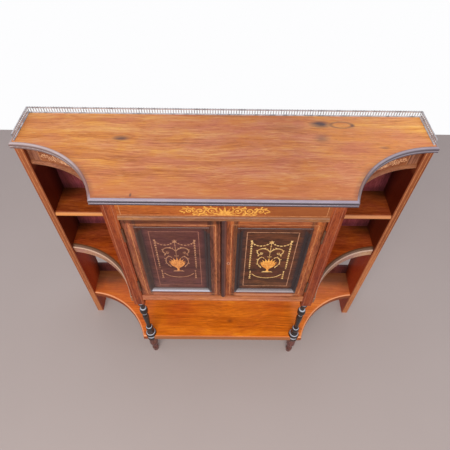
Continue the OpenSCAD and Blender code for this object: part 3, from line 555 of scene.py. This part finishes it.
def topTouch(s, colour):
    x, y = s.spot[:2]
    front, dirt, flecks = (topMarks[word] for word in ("front", "dirt", "flecks"))
    wander = s.noise(s.place, 5.0, 3.0)
    along = (x + cabinet["halfWidth"]) / (2 * cabinet["halfWidth"]) + (wander - 0.5) * 0.22
    colour = s.mix(1.0, colour, s.ramp(along, [(p, (*c, 1.0)) for p, c in topMarks["across"]]), "MULTIPLY")
    near = 1 - (y + (wander - 0.5) * 0.08).step(*front["border"])
    colour = s.paint(near * front["strength"], colour, front["colour"])
    ripple = s.noise(s.stretched(s.place, (0.3, 1.0, 1.0)), 120.0, 3.0)
    for cx, cy, sx, sy, strength in topMarks["knots"]:
        mask = ovalSpot(s, (cx, cy), (sx, sy)) * (0.45 + ripple * 1.1) * strength
        colour = s.paint(mask.clamped(), colour, topMarks["knotColour"])
    for cx, cy, sx, sy, strength in topMarks["ringStains"]:
        mask = ovalReach(s, (cx, cy), (sx, sy)).within(0.72, 1.0, 0.16) * (0.3 + ripple * 1.2) * strength
        colour = s.paint(mask.clamped(), colour, topMarks["knotColour"])
    # polish and dirt along the border, on the straight front and round both arcs
    inside = (arcReach(s) - cabinet["arcRadius"]).smallest(y - cabinet["front"]) + (ripple - 0.5) * 0.006
    mask = (1 - inside.step(*dirt["border"])) * (1 - y.step(*dirt["back"]) * 0.85)
    colour = s.shade(mask * dirt["strength"], colour, dirt["factor"])
    # fine pale flecks along the grain
    mask = s.noise(s.stretched(s.place, (0.14, 1.0, 1.0), (2.0, 0.0, 0.0)), flecks["scale"], 2.0).step(0.60, 0.70)
    return s.paint(mask * flecks["strength"], colour, flecks["colour"])


lowShelfTone = {
    # painted shade, with a wavy border, towards the back of the wings
    "rear": (0.26, 0.28, 0.42), "rearFrom": (0.055, 0.125),
    # centre and size in metres, and the strength of the redder spots
    "knot": (120, 52, 14), "knotAt": ((0.028, -0.079), (0.018, 0.011)), "redder": (0.78, 0.52, 0.55),
    "redSpots": [((-0.165, -0.030), (0.120, 0.085), 0.8), ((0.205, -0.020), (0.070, 0.060), 0.6)],
}


def lowShelfTouch(s, colour):
    x, y = s.spot[:2]
    tone = lowShelfTone
    mottle = s.noise(s.place, 22.0, 3.0)
    # painted shade towards the back of the wings
    rear = y + (mottle - 0.5) * 0.05 + (abs(x) - 0.40) * 0.15
    colour = s.shade(abs(x).step(*cabinet["wings"]) * rear.step(*tone["rearFrom"]), colour, tone["rear"])
    colour = s.paint(ovalSpot(s, *tone["knotAt"]) * 0.75, colour, tone["knot"])
    for centre, size, strength in tone["redSpots"]:
        spot = ovalSpot(s, centre, size) * (0.4 + mottle * 1.2) * strength
        colour = s.shade(spot.clamped(), colour, tone["redder"])
    return colour


# shares of the wood's own colour in the shade of the mouldings and on the bright edges of stiles and upper rail,
# with borders as low, high and softness, from the middle of the cabinet or over the floor
doorTone = {
    "shade": (0.52, 0.60, 0.78), "shadeStiles": [(0.2120, 0.2200, 0.003), (0.0250, 0.0350, 0.003)],
    "shadeRail": (0.783, 0.793, 0.003), "shadeRailFrom": (0.0240, 0.0270), "shadeEnd": (0.2225, 0.2195),
    "bright": (1.30, 1.24, 1.08), "brightStiles": [(0.2265, 0.2345, 0.002), (0.0165, 0.0225, 0.002)],
    "brightRightTop": (0.803, 0.806),
}


def doorTouch(s, colour):
    x, y, z = s.spot
    away, tone = abs(x), doorTone
    face = y.step(*doorFace["y"])
    outer, inner = (away.within(*border) for border in tone["shadeStiles"])
    rail = z.within(*tone["shadeRail"]) * away.step(*tone["shadeRailFrom"])
    colour = s.shade(outer.largest(inner).largest(rail) * away.step(*tone["shadeEnd"]) * face, colour, tone["shade"])
    outer, inner = (away.within(*border) for border in tone["brightStiles"])
    top = z.step(*tone["brightRightTop"]) * x.step(*rightHalf) * 0.5
    return s.shade(outer.largest(inner).largest(top) * face, colour, tone["bright"])


curvedTone = {"end": (156, 104, 80), "stripe": (104, 62, 46), "from": (0.474, 0.482)}


def curvedFriezeTouch(s, colour):
    # upright veneer at the outer end
    stripes = s.noise(s.stretched(s.place, (1.0, 1.0, 0.05)), 240.0, 2.0)
    upright = s.paint(stripes.step(0.42, 0.62), tint(curvedTone["end"]), curvedTone["stripe"])
    return s.mix(abs(s.spot[0]).step(*curvedTone["from"]) * 0.75, colour, upright)


print("woods described")


# ebonised wood: its own colour, worn places, and a pale painted highlight on faces that look up
ebonies = {
    "edge": {
        "base": (66, 57, 64), "rub": (100, 78, 74), "highlight": (173, 158, 171),
        "from": 0.25, "to": 0.98, "strength": 0.9, "roughness": 0.30, "coat": 0.25,
    },
    "turned": {
        "base": (34, 26, 24), "rub": (86, 60, 50), "highlight": (214, 216, 226),
        "from": 0.34, "to": 0.80, "strength": 0.85, "roughness": 0.28, "coat": 0.08,
    },
    "moulding": {
        "base": (50, 38, 38), "rub": (70, 50, 44), "highlight": (215, 213, 229),
        "from": 0.15, "to": 0.65, "strength": 1.0, "roughness": 0.30, "coat": 0.15,
        # only the crest of the lower bars of the door mouldings catches the light
        "highlightAt": {"z": (0.4755, 0.4885, 0.0030)},
    },
    "astragal": {
        "base": (66, 38, 34), "rub": (92, 54, 44), "highlight": (100, 92, 104),
        "from": 0.4, "to": 0.9, "strength": 0.5, "roughness": 0.30, "coat": 0.15,
    },
}


def ebonisedFinish(name, word):
    s = Finish(name)
    look = ebonies[word]
    rubbed = s.noise(s.place, 45.0, 4.0, 0.6)
    brushed = s.noise(s.stretched(s.place, (0.15, 0.6, 0.6)), 160.0, 3.0)
    colour = s.paint(rubbed.step(0.50, 0.70) * 0.6, tint(look["base"]), look["rub"])
    colour = touched(s, colour, word)
    # painted highlight: the pale colour where the surface looks up
    highlight = s.upward().step(look["from"], look["to"]) * (0.70 + brushed * 0.6) * look["strength"]
    highlight = highlight * inBorders(s, look.get("highlightAt", {}))
    pale = marked(s, tint(look["highlight"]), word + "Bloom")
    if word == "edge":
        pale = edgeHighlight(s, pale)
    colour = s.mix(highlight.clamped(), colour, pale)
    s.feed(colour=colour, roughness=look["roughness"] + rubbed * 0.14, coat=look["coat"],
           coatRoughness=0.15, specular=0.3)
    s.relief(rubbed * 0.5 + brushed * 0.5, 0.0001)
    return s.material


# the edge of the top: colours of both arcs' wood, and of the painted highlight along arcs and front
edgeTone = {
    "leftArc": (128, 102, 96), "rightArc": (96, 84, 90), "innerFlank": (0.74, 0.58, 0.52),
    "leftBloom": (200, 182, 182), "rightBloom": (168, 156, 166),
    "leftLow": (157, 112, 102), "rightLow": (142, 110, 104), "middle": (0.90, 0.90, 0.92),
}


def edgeTouch(s, colour):
    worn = s.noise(s.place, 26.0, 3.0)
    arcs = abs(s.spot[0]).step(*cabinet["arcs"]) * (0.55 + worn * 0.6)
    sides = s.paint(s.spot[0].step(*rightHalf), tint(edgeTone["leftArc"]), edgeTone["rightArc"])
    return s.mix(arcs.clamped(), colour, sides)


def edgeHighlight(s, colour):
    # the painted highlight: brown where the arcs come down to the front, dimmed by painted shade on their inner flank,
    # silvery at their outer ends
    x, y = s.spot[:2]
    right = x.step(*rightHalf)
    outer = s.paint(right, tint(edgeTone["leftBloom"]), edgeTone["rightBloom"])
    low = s.paint(right, tint(edgeTone["leftLow"]), edgeTone["rightLow"])
    outer = s.mix(1 - y.step(-0.085, -0.025), outer, low)
    outer = s.shade(arcReach(s).step(0.2415, 0.2455), outer, edgeTone["innerFlank"])
    front = s.shade(x.step(-0.14, -0.02), colour, edgeTone["middle"])
    return s.mix(abs(x).step(*cabinet["arcs"]), front, outer)


# colour, tarnished colour, roughness and how metallic
metals = {
    "gallery": ((196, 194, 198), (128, 124, 128), 0.38, 0.6),
    "hinge": ((110, 70, 46), (70, 44, 32), 0.5, 0.4),
    "brass": ((120, 86, 52), (56, 38, 26), 0.4, 1.0),
    "wornPlate": ((206, 138, 104), (160, 102, 76), 0.45, 0.3),
    "steel": ((140, 138, 134), (84, 78, 72), 0.38, 1.0),
}


def metalFinish(name, base, dark, roughness, metallic):
    s = Finish(name)
    tarnish = s.noise(s.place, 60.0, 5.0, 0.65)
    specks = s.noise(s.place, 340.0, 3.0)
    colour = s.paint(tarnish.step(0.42, 0.68) * 0.75, tint(base), dark)
    colour = s.paint(specks.step(0.62, 0.72) * 0.5, colour, [c * 0.6 for c in dark])
    s.feed(colour=colour, roughness=roughness + tarnish * 0.2, metallic=metallic)
    s.relief(tarnish * 0.4 + specks * 0.3, 0.00006)
    return s.material


# colour, darker colour and roughness
inlays = {
    "boxwood": ((232, 192, 124), (196, 146, 84), 0.45),
    # dimmed by a painted reflection on the left panel's polish
    "boxwoodFaded": ((184, 132, 96), (150, 100, 74), 0.45),
    "curvedBoxwood": ((232, 176, 130), (192, 130, 94), 0.45),
    "satinwood": ((246, 178, 84), (222, 138, 54), 0.42),
    # dimmed by a painted reflection on the left panel's polish
    "satinwoodFaded": ((226, 150, 80), (190, 112, 58), 0.42),
    "friezeGold": ((236, 170, 76), (196, 124, 48), 0.42),
    "panelLine": ((186, 134, 100), (146, 98, 74), 0.45),
    # dimmed by a painted reflection on the left panel's polish
    "panelLineFaded": ((150, 96, 78), (124, 76, 62), 0.45),
    "burntLine": ((176, 98, 44), (136, 70, 34), 0.5),
    "stringing": ((200, 134, 84), (168, 106, 66), 0.45),
    "leftStileLine": ((172, 100, 66), (154, 86, 56), 0.45),
    "rightStileLine": ((162, 92, 62), (144, 78, 52), 0.45),
}


def inlayFinish(name, base, dark, roughness):
    s = Finish(name)
    shade = s.noise(s.place, 130.0, 4.0, 0.6)
    cuts = s.noise(s.stretched(s.place, (1.0, 1.0, 0.35)), 520.0, 2.0).step(0.60, 0.72)
    colour = s.paint(shade.step(0.40, 0.66), tint(base), dark)
    colour = s.paint(cuts * 0.25, colour, [c * 0.5 for c in dark])
    s.feed(colour=colour, roughness=roughness + shade * 0.1, coat=0.1, coatRoughness=0.2, specular=0.3)
    s.relief(shade * 0.5 - cuts * 0.6, 0.00005)
    return s.material


# the name of each material also seeds its pattern
woodNames = {
    "top": "waxed top", "frieze": "frieze veneer", "curvedFrieze": "curved frieze veneer", "bead": "worn bead",
    "stile": "stile rosewood", "endPanel": "end panel rosewood", "cupboardSide": "cupboard side",
    "middleShelf": "middle shelf", "upperShelf": "upper shelf", "middleEdge": "middle shelf edge",
    "lowShelf": "low shelf", "baseRail": "base rail", "leftStile": "left door stile", "leftRail": "left door rail",
    "rightStile": "right door stile", "rightRail": "right door rail", "panelLeft": "left panel veneer",
    "panelRight": "right panel veneer", "wingBack": "stained wing back", "inside": "plain inside wood",
    "foot": "turned foot",
}
touches = {
    "top": topTouch, "curvedFrieze": curvedFriezeTouch, "lowShelf": lowShelfTouch, "edge": edgeTouch,
    "leftStile": doorTouch, "leftRail": doorTouch, "rightStile": doorTouch, "rightRail": doorTouch,
}
finishes = {word: woodFinish(name, word) for word, name in woodNames.items()}
for word, name in (("edge", "ebonised top edge"), ("turned", "ebonised turning"), ("moulding", "ebonised moulding"),
                   ("astragal", "dark meeting bead")):
    finishes[word] = ebonisedFinish(name, word)
for word, look in metals.items():
    finishes[word] = metalFinish("aged " + word, *look)
for word, look in inlays.items():
    finishes[word] = inlayFinish(word + " inlay", *look)

# the nodes that have each finish
nodesOf = {
    "top": "top_board", "edge": "top_edge_moulding", "frieze": "frieze_rail", "bead": "frieze_bead",
    "gallery": "gallery_back gallery_left gallery_right", "astragal": "right_door_astragal",
    "baseRail": "base_rail", "lowShelf": "lower_shelf", "wingBack": "lower_back_rail", "wornPlate": "keyhole_plate",
    "inside": "centre_back_board cupboard_floor door_stops loose_shelf shelf_bearers bolt_keeper",
    "brass": "lock_case lock_strike bolt_guides", "steel": "lock_bolt top_bolt bottom_bolt",
    "leftStile": "left_door_stiles", "leftRail": "left_door_rails", "panelLeft": "left_door_panel",
    "rightStile": "right_door_stiles", "rightRail": "right_door_rails", "panelRight": "right_door_panel",
}
# of which there is one on each side
pairsOf = {
    "curvedFrieze": "curved_frieze", "bead": "curved_bead", "endPanel": "end_panel",
    "cupboardSide": "cupboard_side", "stile": "front_stile", "turned": "front_leg", "foot": "front_foot",
    "wingBack": "wing_back", "middleShelf": "middle_shelf", "middleEdge": "middle_edge",
    "upperShelf": "upper_shelf", "steel": "hinge_pins", "moulding": "door_moulding",
    "hinge": "hinge_frame_leaves door_hinge_leaves",
}
nodeFinish = {node: look for look, names in nodesOf.items() for node in names.split()}
nodeFinish.update({side + piece: look for look, names in pairsOf.items() for piece in names.split()
                   for side in ("left_", "right_")})

for nodeName, finishName in nodeFinish.items():
    mesh = nodes[nodeName].data
    mesh.materials.clear()
    mesh.materials.append(finishes[finishName])
print("finishes given to", len(nodeFinish), "nodes")


def smoothLine(points, steps=6):
    # a curve through the points
    line = []
    for i in range(len(points) - 1):
        p = [Vector(points[max(0, min(len(points) - 1, i + k))]) for k in (-1, 0, 1, 2)]
        for j in range(steps):
            t = j / steps
            line.append(0.5 * (2 * p[1] + (p[2] - p[0]) * t + (2 * p[0] - 5 * p[1] + 4 * p[2] - p[3]) * t * t
                               + (3 * p[1] - p[0] - 3 * p[2] + p[3]) * t ** 3))
    line.append(Vector(points[-1]))
    return line


def around(u, v, radius, angle):
    # the point at this angle, in degrees, on a circle
    return (u + radius * math.cos(math.radians(angle)), v + radius * math.sin(math.radians(angle)))


def spiralLine(u, v, radius, turns, start, direction, inner=0.18):
    # from the outside in, where inner is the share of the radius that is left
    last = int(turns * 18) + 1
    shares = [i / last for i in range(last + 1)]
    return [around(u, v, radius * (1 - (1 - inner) * t), start + direction * 360 * turns * t) for t in shares]


class Inlay:
    # thin shapes in millimetres on a surface, u across and v up, laid by a mapping
    def __init__(self, lift=0.12, depth=0.2):
        self.corners = []
        self.faces = []
        self.lift = lift
        self.depth = depth

    def rise(self):
        # each shape stands a hair higher than the one before, so that crossings stay clean
        self.lift += 0.0012
        return self.lift

    def shape(self, outline):
        # a closed outline with a short skirt down into the wood
        first, count, lift = len(self.corners), len(outline), self.rise()
        self.corners += [(u, v, w) for w in (lift, -self.depth) for u, v in outline]
        self.faces.append(list(range(first, first + count)))
        for i in range(count):
            j = (i + 1) % count
            self.faces.append([first + i, first + count + i, first + count + j, first + j])

    def band(self, points, width, endWidth=None, swell=0.0):
        endWidth = width if endWidth is None else endWidth
        line = [Vector(p) for p in points]
        left, right = [], []
        last = len(line) - 1
        for i, p in enumerate(line):
            ahead = (line[min(i + 1, last)] - line[max(i - 1, 0)]).normalized()
            t = i / last
            half = (width + (endWidth - width) * t + swell * math.sin(math.pi * t)) / 2
            side = Vector((-ahead.y, ahead.x)) * half
            left.append(p + side)
            right.append(p - side)
        first = len(self.corners)
        lift = self.rise()
        for a, b in zip(left, right):
            self.corners += [(a.x, a.y, lift), (b.x, b.y, lift), (a.x, a.y, -self.depth), (b.x, b.y, -self.depth)]
        for k in range(first, first + 4 * last, 4):
            self.faces += [[k, k + 1, k + 5, k + 4], [k + 2, k, k + 4, k + 6], [k + 1, k + 3, k + 7, k + 5]]

    def frame(self, x0, x1, z0, z1, width):
        # four straight bands round a rectangle
        ends = [(x0, z0), (x1, z0), (x1, z1), (x0, z1), (x0, z0)]
        for a, b in zip(ends, ends[1:]):
            self.band([a, b], width)

    def leaf(self, u, v, length, width, angle):
        turn = math.radians(angle)
        half = ((0.15, 0.32), (0.38, 0.5), (0.62, 0.42), (0.85, 0.18))
        profile = ((0, 0.0), *half, (1, 0.0), *[(t, -w) for t, w in reversed(half)])
        self.shape([(u + t * length * math.cos(turn) - w * width * math.sin(turn),
                     v + t * length * math.sin(turn) + w * width * math.cos(turn)) for t, w in profile])

    def disc(self, u, v, radius, sides=14):
        self.shape([around(u, v, radius, 360 * i / sides) for i in range(sides)])

    def curve(self, points, *widths):
        self.band(smoothLine(points), *widths)

    def draw(self, steps):
        # each step is the name of a shape and what it takes
        shapes = {"band": self.band, "curve": self.curve, "husks": self.husks, "leaf": self.leaf, "disc": self.disc,
                  "shape": self.shape}
        for kind, *values in steps:
            shapes[kind](*values)

    def husks(self, points, count, width, endWidth):
        # a string of bell-shaped husks
        line = smoothLine(points)
        reach = [0.0]
        for a, b in zip(line, line[1:]):
            reach.append(reach[-1] + (b - a).length)
        pitch = reach[-1] / count

        def at(way):
            i = next((i for i in range(len(reach) - 2) if way <= reach[i + 1]), len(reach) - 2)
            return line[i].lerp(line[i + 1], (way - reach[i]) / max(1e-6, reach[i + 1] - reach[i]))

        for i in range(count):
            a, b = at(pitch * i), at(pitch * (i + 0.86))
            ahead = (b - a).normalized()
            side = Vector((-ahead.y, ahead.x))
            w = (width + (endWidth - width) * i / max(1, count - 1)) / 2
            l = (b - a).length
            profile = ((0, 0.25), (0.3, 0.55), (0.7, 1.0), (1.0, 0.75))
            outline = [a + ahead * l * t + side * w * k for t, k in profile]
            outline.append(a + ahead * l * 0.8)
            outline += [a + ahead * l * t - side * w * k for t, k in reversed(profile)]
            self.shape([tuple(p) for p in outline])

    def both(self, steps):
        # draws the steps and their mirror image about u = 0
        firstCorner, firstFace = len(self.corners), len(self.faces)
        self.draw(steps)
        newCorners = self.corners[firstCorner:]
        shift = len(newCorners)
        newFaces = self.faces[firstFace:]
        self.corners += [(-u, v, w + 0.0006 * (w > 0)) for u, v, w in newCorners]
        self.faces += [[i + shift for i in reversed(face)] for face in newFaces]

    def lay(self, name, mapping, body, finish, slot):
        mesh = bpy.data.meshes.new(name)
        mesh.from_pydata([mapping(u, v, w) for u, v, w in self.corners], [], self.faces)
        mesh.update()
        mesh.materials.append(finishes[finish])
        piece = put(name, mesh)
        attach(piece, body)


def onFace(face, middle=0.0, floor=0.0, side=1):
    # lays millimetres on an upright face that looks to the front, at face in metres
    return lambda u, v, w: (side * (middle + u) / 1000, face - w / 1000, (floor + v) / 1000)


panelDesign = {
    # millimetres: the ornament's middle from the middle of the front, and the stringing round it
    "left": {"centre": -126.0, "frame": (-61.5, 63.0, 508.0, 767.0)},
    "right": {"centre": 124.5, "frame": (-64.5, 65.5, 508.0, 767.0)},
    "frameWidth": 2.1,
    # from here in millimetres over the floor: the right half, which is drawn again as its mirror image.
    # Husks have their number and widths, bands their width, end width and swelling, discs their radius,
    # and leaves their length, width and angle.
    "half": [
        ("husks", [(51.5, 727), (46, 718.5), (37, 712), (26.5, 709.5), (16, 712), (7, 718.5), (0, 726)], 7, 5.2, 4.4),
        ("disc", 51.5, 728.5, 2.8), ("leaf", 51.5, 729, 6, 3.2, 65), ("leaf", 51.5, 729, 6, 3.2, 115),
        ("husks", [(51, 724), (51, 607)], 11, 5.8, 4.4), ("disc", 51, 603, 1.8),
        ("husks", [(47.5, 586), (47.5, 546)], 4, 3.6, 6.0), ("disc", 47.5, 588, 2.2),
        # the scroll over the urn
        ("curve", [(1, 684), (5, 690), (11, 695), (18, 698), (25, 697), (31.5, 692), (34.5, 685), (33, 677),
                   (28.5, 672), (23, 671.5), (19.5, 675), (20, 680)], 2.8, 1.6, 0.7),
        ("disc", 24, 678, 2.6), ("leaf", 18, 698, 8, 3.8, 152), ("leaf", 32.5, 690, 6, 3.0, 350),
        ("leaf", 29, 671, 10, 4.2, 285), ("leaf", 8, 693, 6, 3.0, 100), ("leaf", 1, 660, 6, 3.2, 15),
        # the urn's handle
        ("curve", [(13, 652), (18, 658), (25, 655), (29.5, 645), (30.5, 632), (27, 621), (21, 613)], 2.4, 1.6, 0.6),
        ("leaf", 20, 657, 5.5, 3.6, 60), ("leaf", 29.5, 647, 5.5, 3.4, 20), ("leaf", 29, 627, 5.5, 3.6, 330),
        ("leaf", 22, 614, 9, 3.8, 250), ("leaf", 27, 616, 8, 3.4, 200),
    ],
    # garland, stem, and the urn's foot
    "middle": [
        ("curve", [(-42.5, 574), (-29.5, 561), (-14.5, 555), (0, 553), (14.5, 555), (29.5, 561), (42.5, 574)], 2.7),
        ("band", [(0, 724), (0, 700), (0, 655)], 1.3),
        ("disc", 0, 726, 3.0), ("disc", 0, 709, 2.2), ("disc", 0, 698, 1.9), ("disc", 0, 684, 2.8),
        ("leaf", 0, 726, 8, 4.4, 90), ("leaf", 0, 725, 8, 4.0, 35), ("leaf", 0, 725, 8, 4.0, 145),
        ("shape", [(-11, 589), (11, 589), (16, 583.5), (-16, 583.5)]),
    ],
    "bowl": [(0, 640), (8, 640), (15, 636), (19.5, 629), (19.5, 621), (15, 612), (7.5, 605), (3.4, 601), (2.6, 594),
             (4.0, 590), (8, 588)],
    # angle and length of the leaves that stand in the bowl
    "fan": [(90, 35), (71, 33), (109, 33), (53, 31), (127, 31), (35, 28.5), (145, 28.5), (18, 26), (162, 26)],
    # darker joints between the bowl's gadroons, on the right half and across the middle
    "gadroons": [("band", [(4.2, 643), (1.5, 606)], 0.7, 0.4), ("band", [(12.0, 640), (4.5, 606)], 0.7, 0.4),
                 ("band", [(18.0, 634), (8.0, 608)], 0.7, 0.4)],
    "waist": [("band", [(-17.5, 619), (17.5, 619)], 0.8)],
}


def panelOrnament(word, pale, gold, line):
    design = panelDesign
    onPanel = onFace(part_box(word + "_door_panel")[0].y, design[word]["centre"])

    def lay(inlay, piece, finish):
        inlay.lay(word + piece, onPanel, word + "_door", finish, "panel_wood")

    strings = Inlay()
    strings.frame(*design[word]["frame"], design["frameWidth"])
    lay(strings, "PanelString", line)
    ornament = Inlay()
    ornament.both(design["half"])
    ornament.draw(design["middle"])
    lay(ornament, "PanelOrnament", pale)
    urn = Inlay(0.2)
    right = design["bowl"]
    urn.shape([(-u, v) for u, v in right] + right[:0:-1])
    urn.draw([("leaf", 0, 620, reach, 5.6, angle) for angle, reach in design["fan"]])
    lay(urn, "PanelUrn", gold)
    joints = Inlay(0.22)
    joints.both(design["gadroons"])
    joints.draw(design["waist"])
    lay(joints, "UrnJoints", "burntLine")


# the left panel's inlays are dimmed by a painted reflection
panelOrnament("left", "boxwoodFaded", "satinwoodFaded", "panelLineFaded")
panelOrnament("right", "boxwood", "satinwood", "panelLine")
print("door panels inlaid")


friezeDesign = {
    # millimetres: where the middle and the foot of the ornament are
    "middle": 2.5, "floor": 843.0,
    # centre, radius, turns, angle of the outer end, direction
    "spirals": [((30, 15), 12.0, 1.5, 200, -1), ((57, 15), 11.0, 1.5, 160, 1), ((82, 15), 9.5, 1.4, 200, -1)],
    # course, width and width at the end
    "tendrils": [
        ([(8, 6), (14, 4), (21, 6), (26, 5)], 3.6, 3.6), ([(38, 24), (44, 26), (50, 23)], 3.4, 3.4),
        ([(63, 5), (69, 3), (75, 6)], 3.2, 3.2), ([(86, 21), (92, 24), (98, 19), (104, 15)], 3.0, 1.6),
    ],
    # place, length, width, angle
    "leaves": [
        (94, 11, 12, 4.8, 10), (92, 20, 9, 4.0, 60), (40, 5, 9, 4.4, 320), (44, 25, 8, 4.4, 60),
        (68, 5, 8, 4.0, 300), (2, 3, 14, 6.0, 14), (2, 3, 20, 6.0, 38), (2, 3, 26, 6.0, 64),
    ],
    "middleSteps": [("leaf", 0, 3, 27, 6.6, 90), ("disc", 0, 5, 4.0), ("band", [(-74, 0.8), (74, 0.8)], 1.8)],
    "strings": [("band", [(-249.5, -1.4), (244.5, -1.4)], 1.8), ("band", [(-242.0, -1.4), (-242.0, 44.0)], 1.5),
                ("band", [(237.0, -1.4), (237.0, 44.0)], 1.5)],
}


def friezeHalf(weight=1.0):
    # running acanthus scroll, drawn from the middle outwards
    steps = []
    for (u, v), radius, turns, start, direction in friezeDesign["spirals"]:
        steps.append(("band", spiralLine(u, v, radius, turns, start, direction), 4.0 * weight, 2.0 * weight))
        steps.append(("disc", u, v, 2.4 * weight))
        for i in range(5):
            angle = start + direction * 55 * i
            steps.append(("leaf", *around(u, v, radius, angle), 8.0, 4.2 * weight, angle + direction * 35))
    steps += [("curve", course, width * weight, end * weight) for course, width, end in friezeDesign["tendrils"]]
    steps += [("leaf", u, v, length, width * weight, angle) for u, v, length, width, angle in friezeDesign["leaves"]]
    return steps


def friezeOrnament():
    design = friezeDesign
    onFrieze = onFace(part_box("frieze_rail")[0].y, design["middle"], design["floor"])
    scroll = Inlay()
    scroll.both(friezeHalf())
    scroll.draw(design["middleSteps"])
    scroll.lay("friezeScroll", onFrieze, "carcass", "friezeGold", "rosewood")
    line = Inlay()
    line.draw(design["strings"])
    line.lay("friezeString", onFrieze, "carcass", "stringing", "rosewood")


friezeOrnament()

curvedDesign = {
    "centreX": 531.0, "centreY": -219.81, "radius": 265.81,
    "middleAngle": 117.0, "floor": 846.0, "size": 0.66, "weight": 0.8, "stringAngle": 101.5,
}


def curvedOrnament(side):
    d = curvedDesign

    def onCurve(u, v, w):
        # u runs along the arc from its middle; the face looks at the arc's centre
        a = math.radians(d["middleAngle"]) - u * d["size"] / d["radius"]
        r = d["radius"] - w
        return (side * (d["centreX"] + r * math.cos(a)) / 1000, (d["centreY"] + r * math.sin(a)) / 1000,
                (v * d["size"] + d["floor"]) / 1000)

    word = "left" if side < 0 else "right"
    scroll = Inlay()
    scroll.both(friezeHalf(d["weight"]))
    scroll.leaf(0, 3, 24, 5.4, 90)
    scroll.lay(word + "CurvedScroll", onCurve, "carcass", "curvedBoxwood", "rosewood")
    line = Inlay()
    u = math.radians(d["middleAngle"] - d["stringAngle"]) * d["radius"] / d["size"]
    line.band([(u, -6), (u, 60)], 2.4)
    line.lay(word + "CurvedString", onCurve, "carcass", "stringing", "rosewood")


curvedOrnament(-1)
curvedOrnament(1)
print("friezes inlaid")


# millimetres
stringing = {
    "width": 1.5,
    # on stiles and ends: from both edges, and from the foot of the piece or the floor
    "_front_stile": {"name": "StileStrings", "inset": 7.0, "foot": 3.0},
    "_end_panel": {"name": "EndStrings", "inset": 6.0, "foot": 4.0},
    # on the doors: from the middle of the cabinet, and from the floor
    "left": (19.5, 229.5, 469.0, 801.0),
    "right": (20.0, 230.5, 469.0, 804.5),
}


def uprightStrings(node, look, finish):
    low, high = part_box(node)
    lines = Inlay()
    for x in (low.x * 1000 + look["inset"], high.x * 1000 - look["inset"]):
        lines.band([(x, low.z * 1000 + look["foot"]), (x, high.z * 1000)], stringing["width"])
    lines.lay(node.split("_")[0] + look["name"], onFace(low.y), "carcass", finish, "rosewood")


def doorStrings(word, side):
    lines = Inlay()
    lines.frame(*stringing[word], stringing["width"])
    mapping = onFace(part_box(word + "_door_rails")[0].y, side=side)
    lines.lay(word + "DoorStrings", mapping, word + "_door", "stringing", "rosewood")


for word, side in (("left", -1), ("right", 1)):
    uprightStrings(word + "_front_stile", stringing["_front_stile"], word + "StileLine")
    uprightStrings(word + "_end_panel", stringing["_end_panel"], "stringing")
    doorStrings(word, side)
print("stringing laid")


studio = {
    "floorSize": 9.0, "floorEnd": 1.25, "floor": (180, 166, 160), "floorLight": (196, 182, 176),
    "backdrop": (253, 253, 254),
    "ambient": (238, 242, 255), "ambientStrength": 0.50,
    "lamps": [
        # name, place, aim, width, depth, power in watts, colour
        ("overheadSoftbox", (0.2, -0.4, 3.3), (0.0, -0.1, 0.7), 3.2, 2.6, 6.0, (1.0, 0.98, 0.95)),
        ("backSoftbox", (0.0, 2.4, 3.1), (0.0, 0.0, 0.9), 4.6, 1.6, 5.0, (1.0, 0.88, 0.82)),
        ("frontSoftbox", (-0.4, -2.9, 2.7), (0.0, 0.0, 0.4), 3.4, 2.2, 122.0, (1.0, 0.98, 0.95)),
    ],
}


def buildStudio():
    s = Finish("studio floor")
    cloudy = s.noise(s.place, 1.6, 3.0) * 0.5
    s.feed(colour=s.paint(cloudy, tint(studio["floor"]), studio["floorLight"]), roughness=0.9, specular=0.1)
    half, end = studio["floorSize"], studio["floorEnd"]
    mesh = bpy.data.meshes.new("floor")
    mesh.from_pydata([(-half, -half, 0), (half, -half, 0), (half, end, 0), (-half, end, 0)], [], [[0, 1, 2, 3]])
    mesh.materials.append(s.material)
    put("floor", mesh)

    for name, place, aim, width, depth, power, colour in studio["lamps"]:
        lamp = bpy.data.lights.new(name, "AREA")
        lamp.shape = "RECTANGLE"
        lamp.size, lamp.size_y = width, depth
        lamp.energy = power
        lamp.color = colour
        holder = put(name, lamp)
        holder.location = place
        holder.rotation_euler = (Vector(aim) - Vector(place)).to_track_quat("-Z", "Y").to_euler()

    # the backdrop is what camera, mirror and glass see, and the ambient light is what falls on the cabinet
    world = bpy.data.worlds.new("studio")
    bpy.context.scene.world = world
    world.use_nodes = True
    world.node_tree.nodes.clear()
    sky = Shader(world.node_tree)
    camera, mirror, glass = (sky.node("ShaderNodeLightPath", out="Is " + ray + " Ray")
                             for ray in ("Camera", "Glossy", "Transmission"))
    ambient = sky.node("ShaderNodeBackground", None, {0: tint(studio["ambient"]), 1: studio["ambientStrength"]})
    backdrop = sky.node("ShaderNodeBackground", None, {0: tint(studio["backdrop"]), 1: 1.0})
    both = sky.node("ShaderNodeMixShader", None, {0: camera.largest(mirror.largest(glass)), 1: ambient, 2: backdrop})
    sky.node("ShaderNodeOutputWorld", None, {0: both})
    bpy.context.scene.view_settings.view_transform = "Standard"


buildStudio()
print("studio lit")
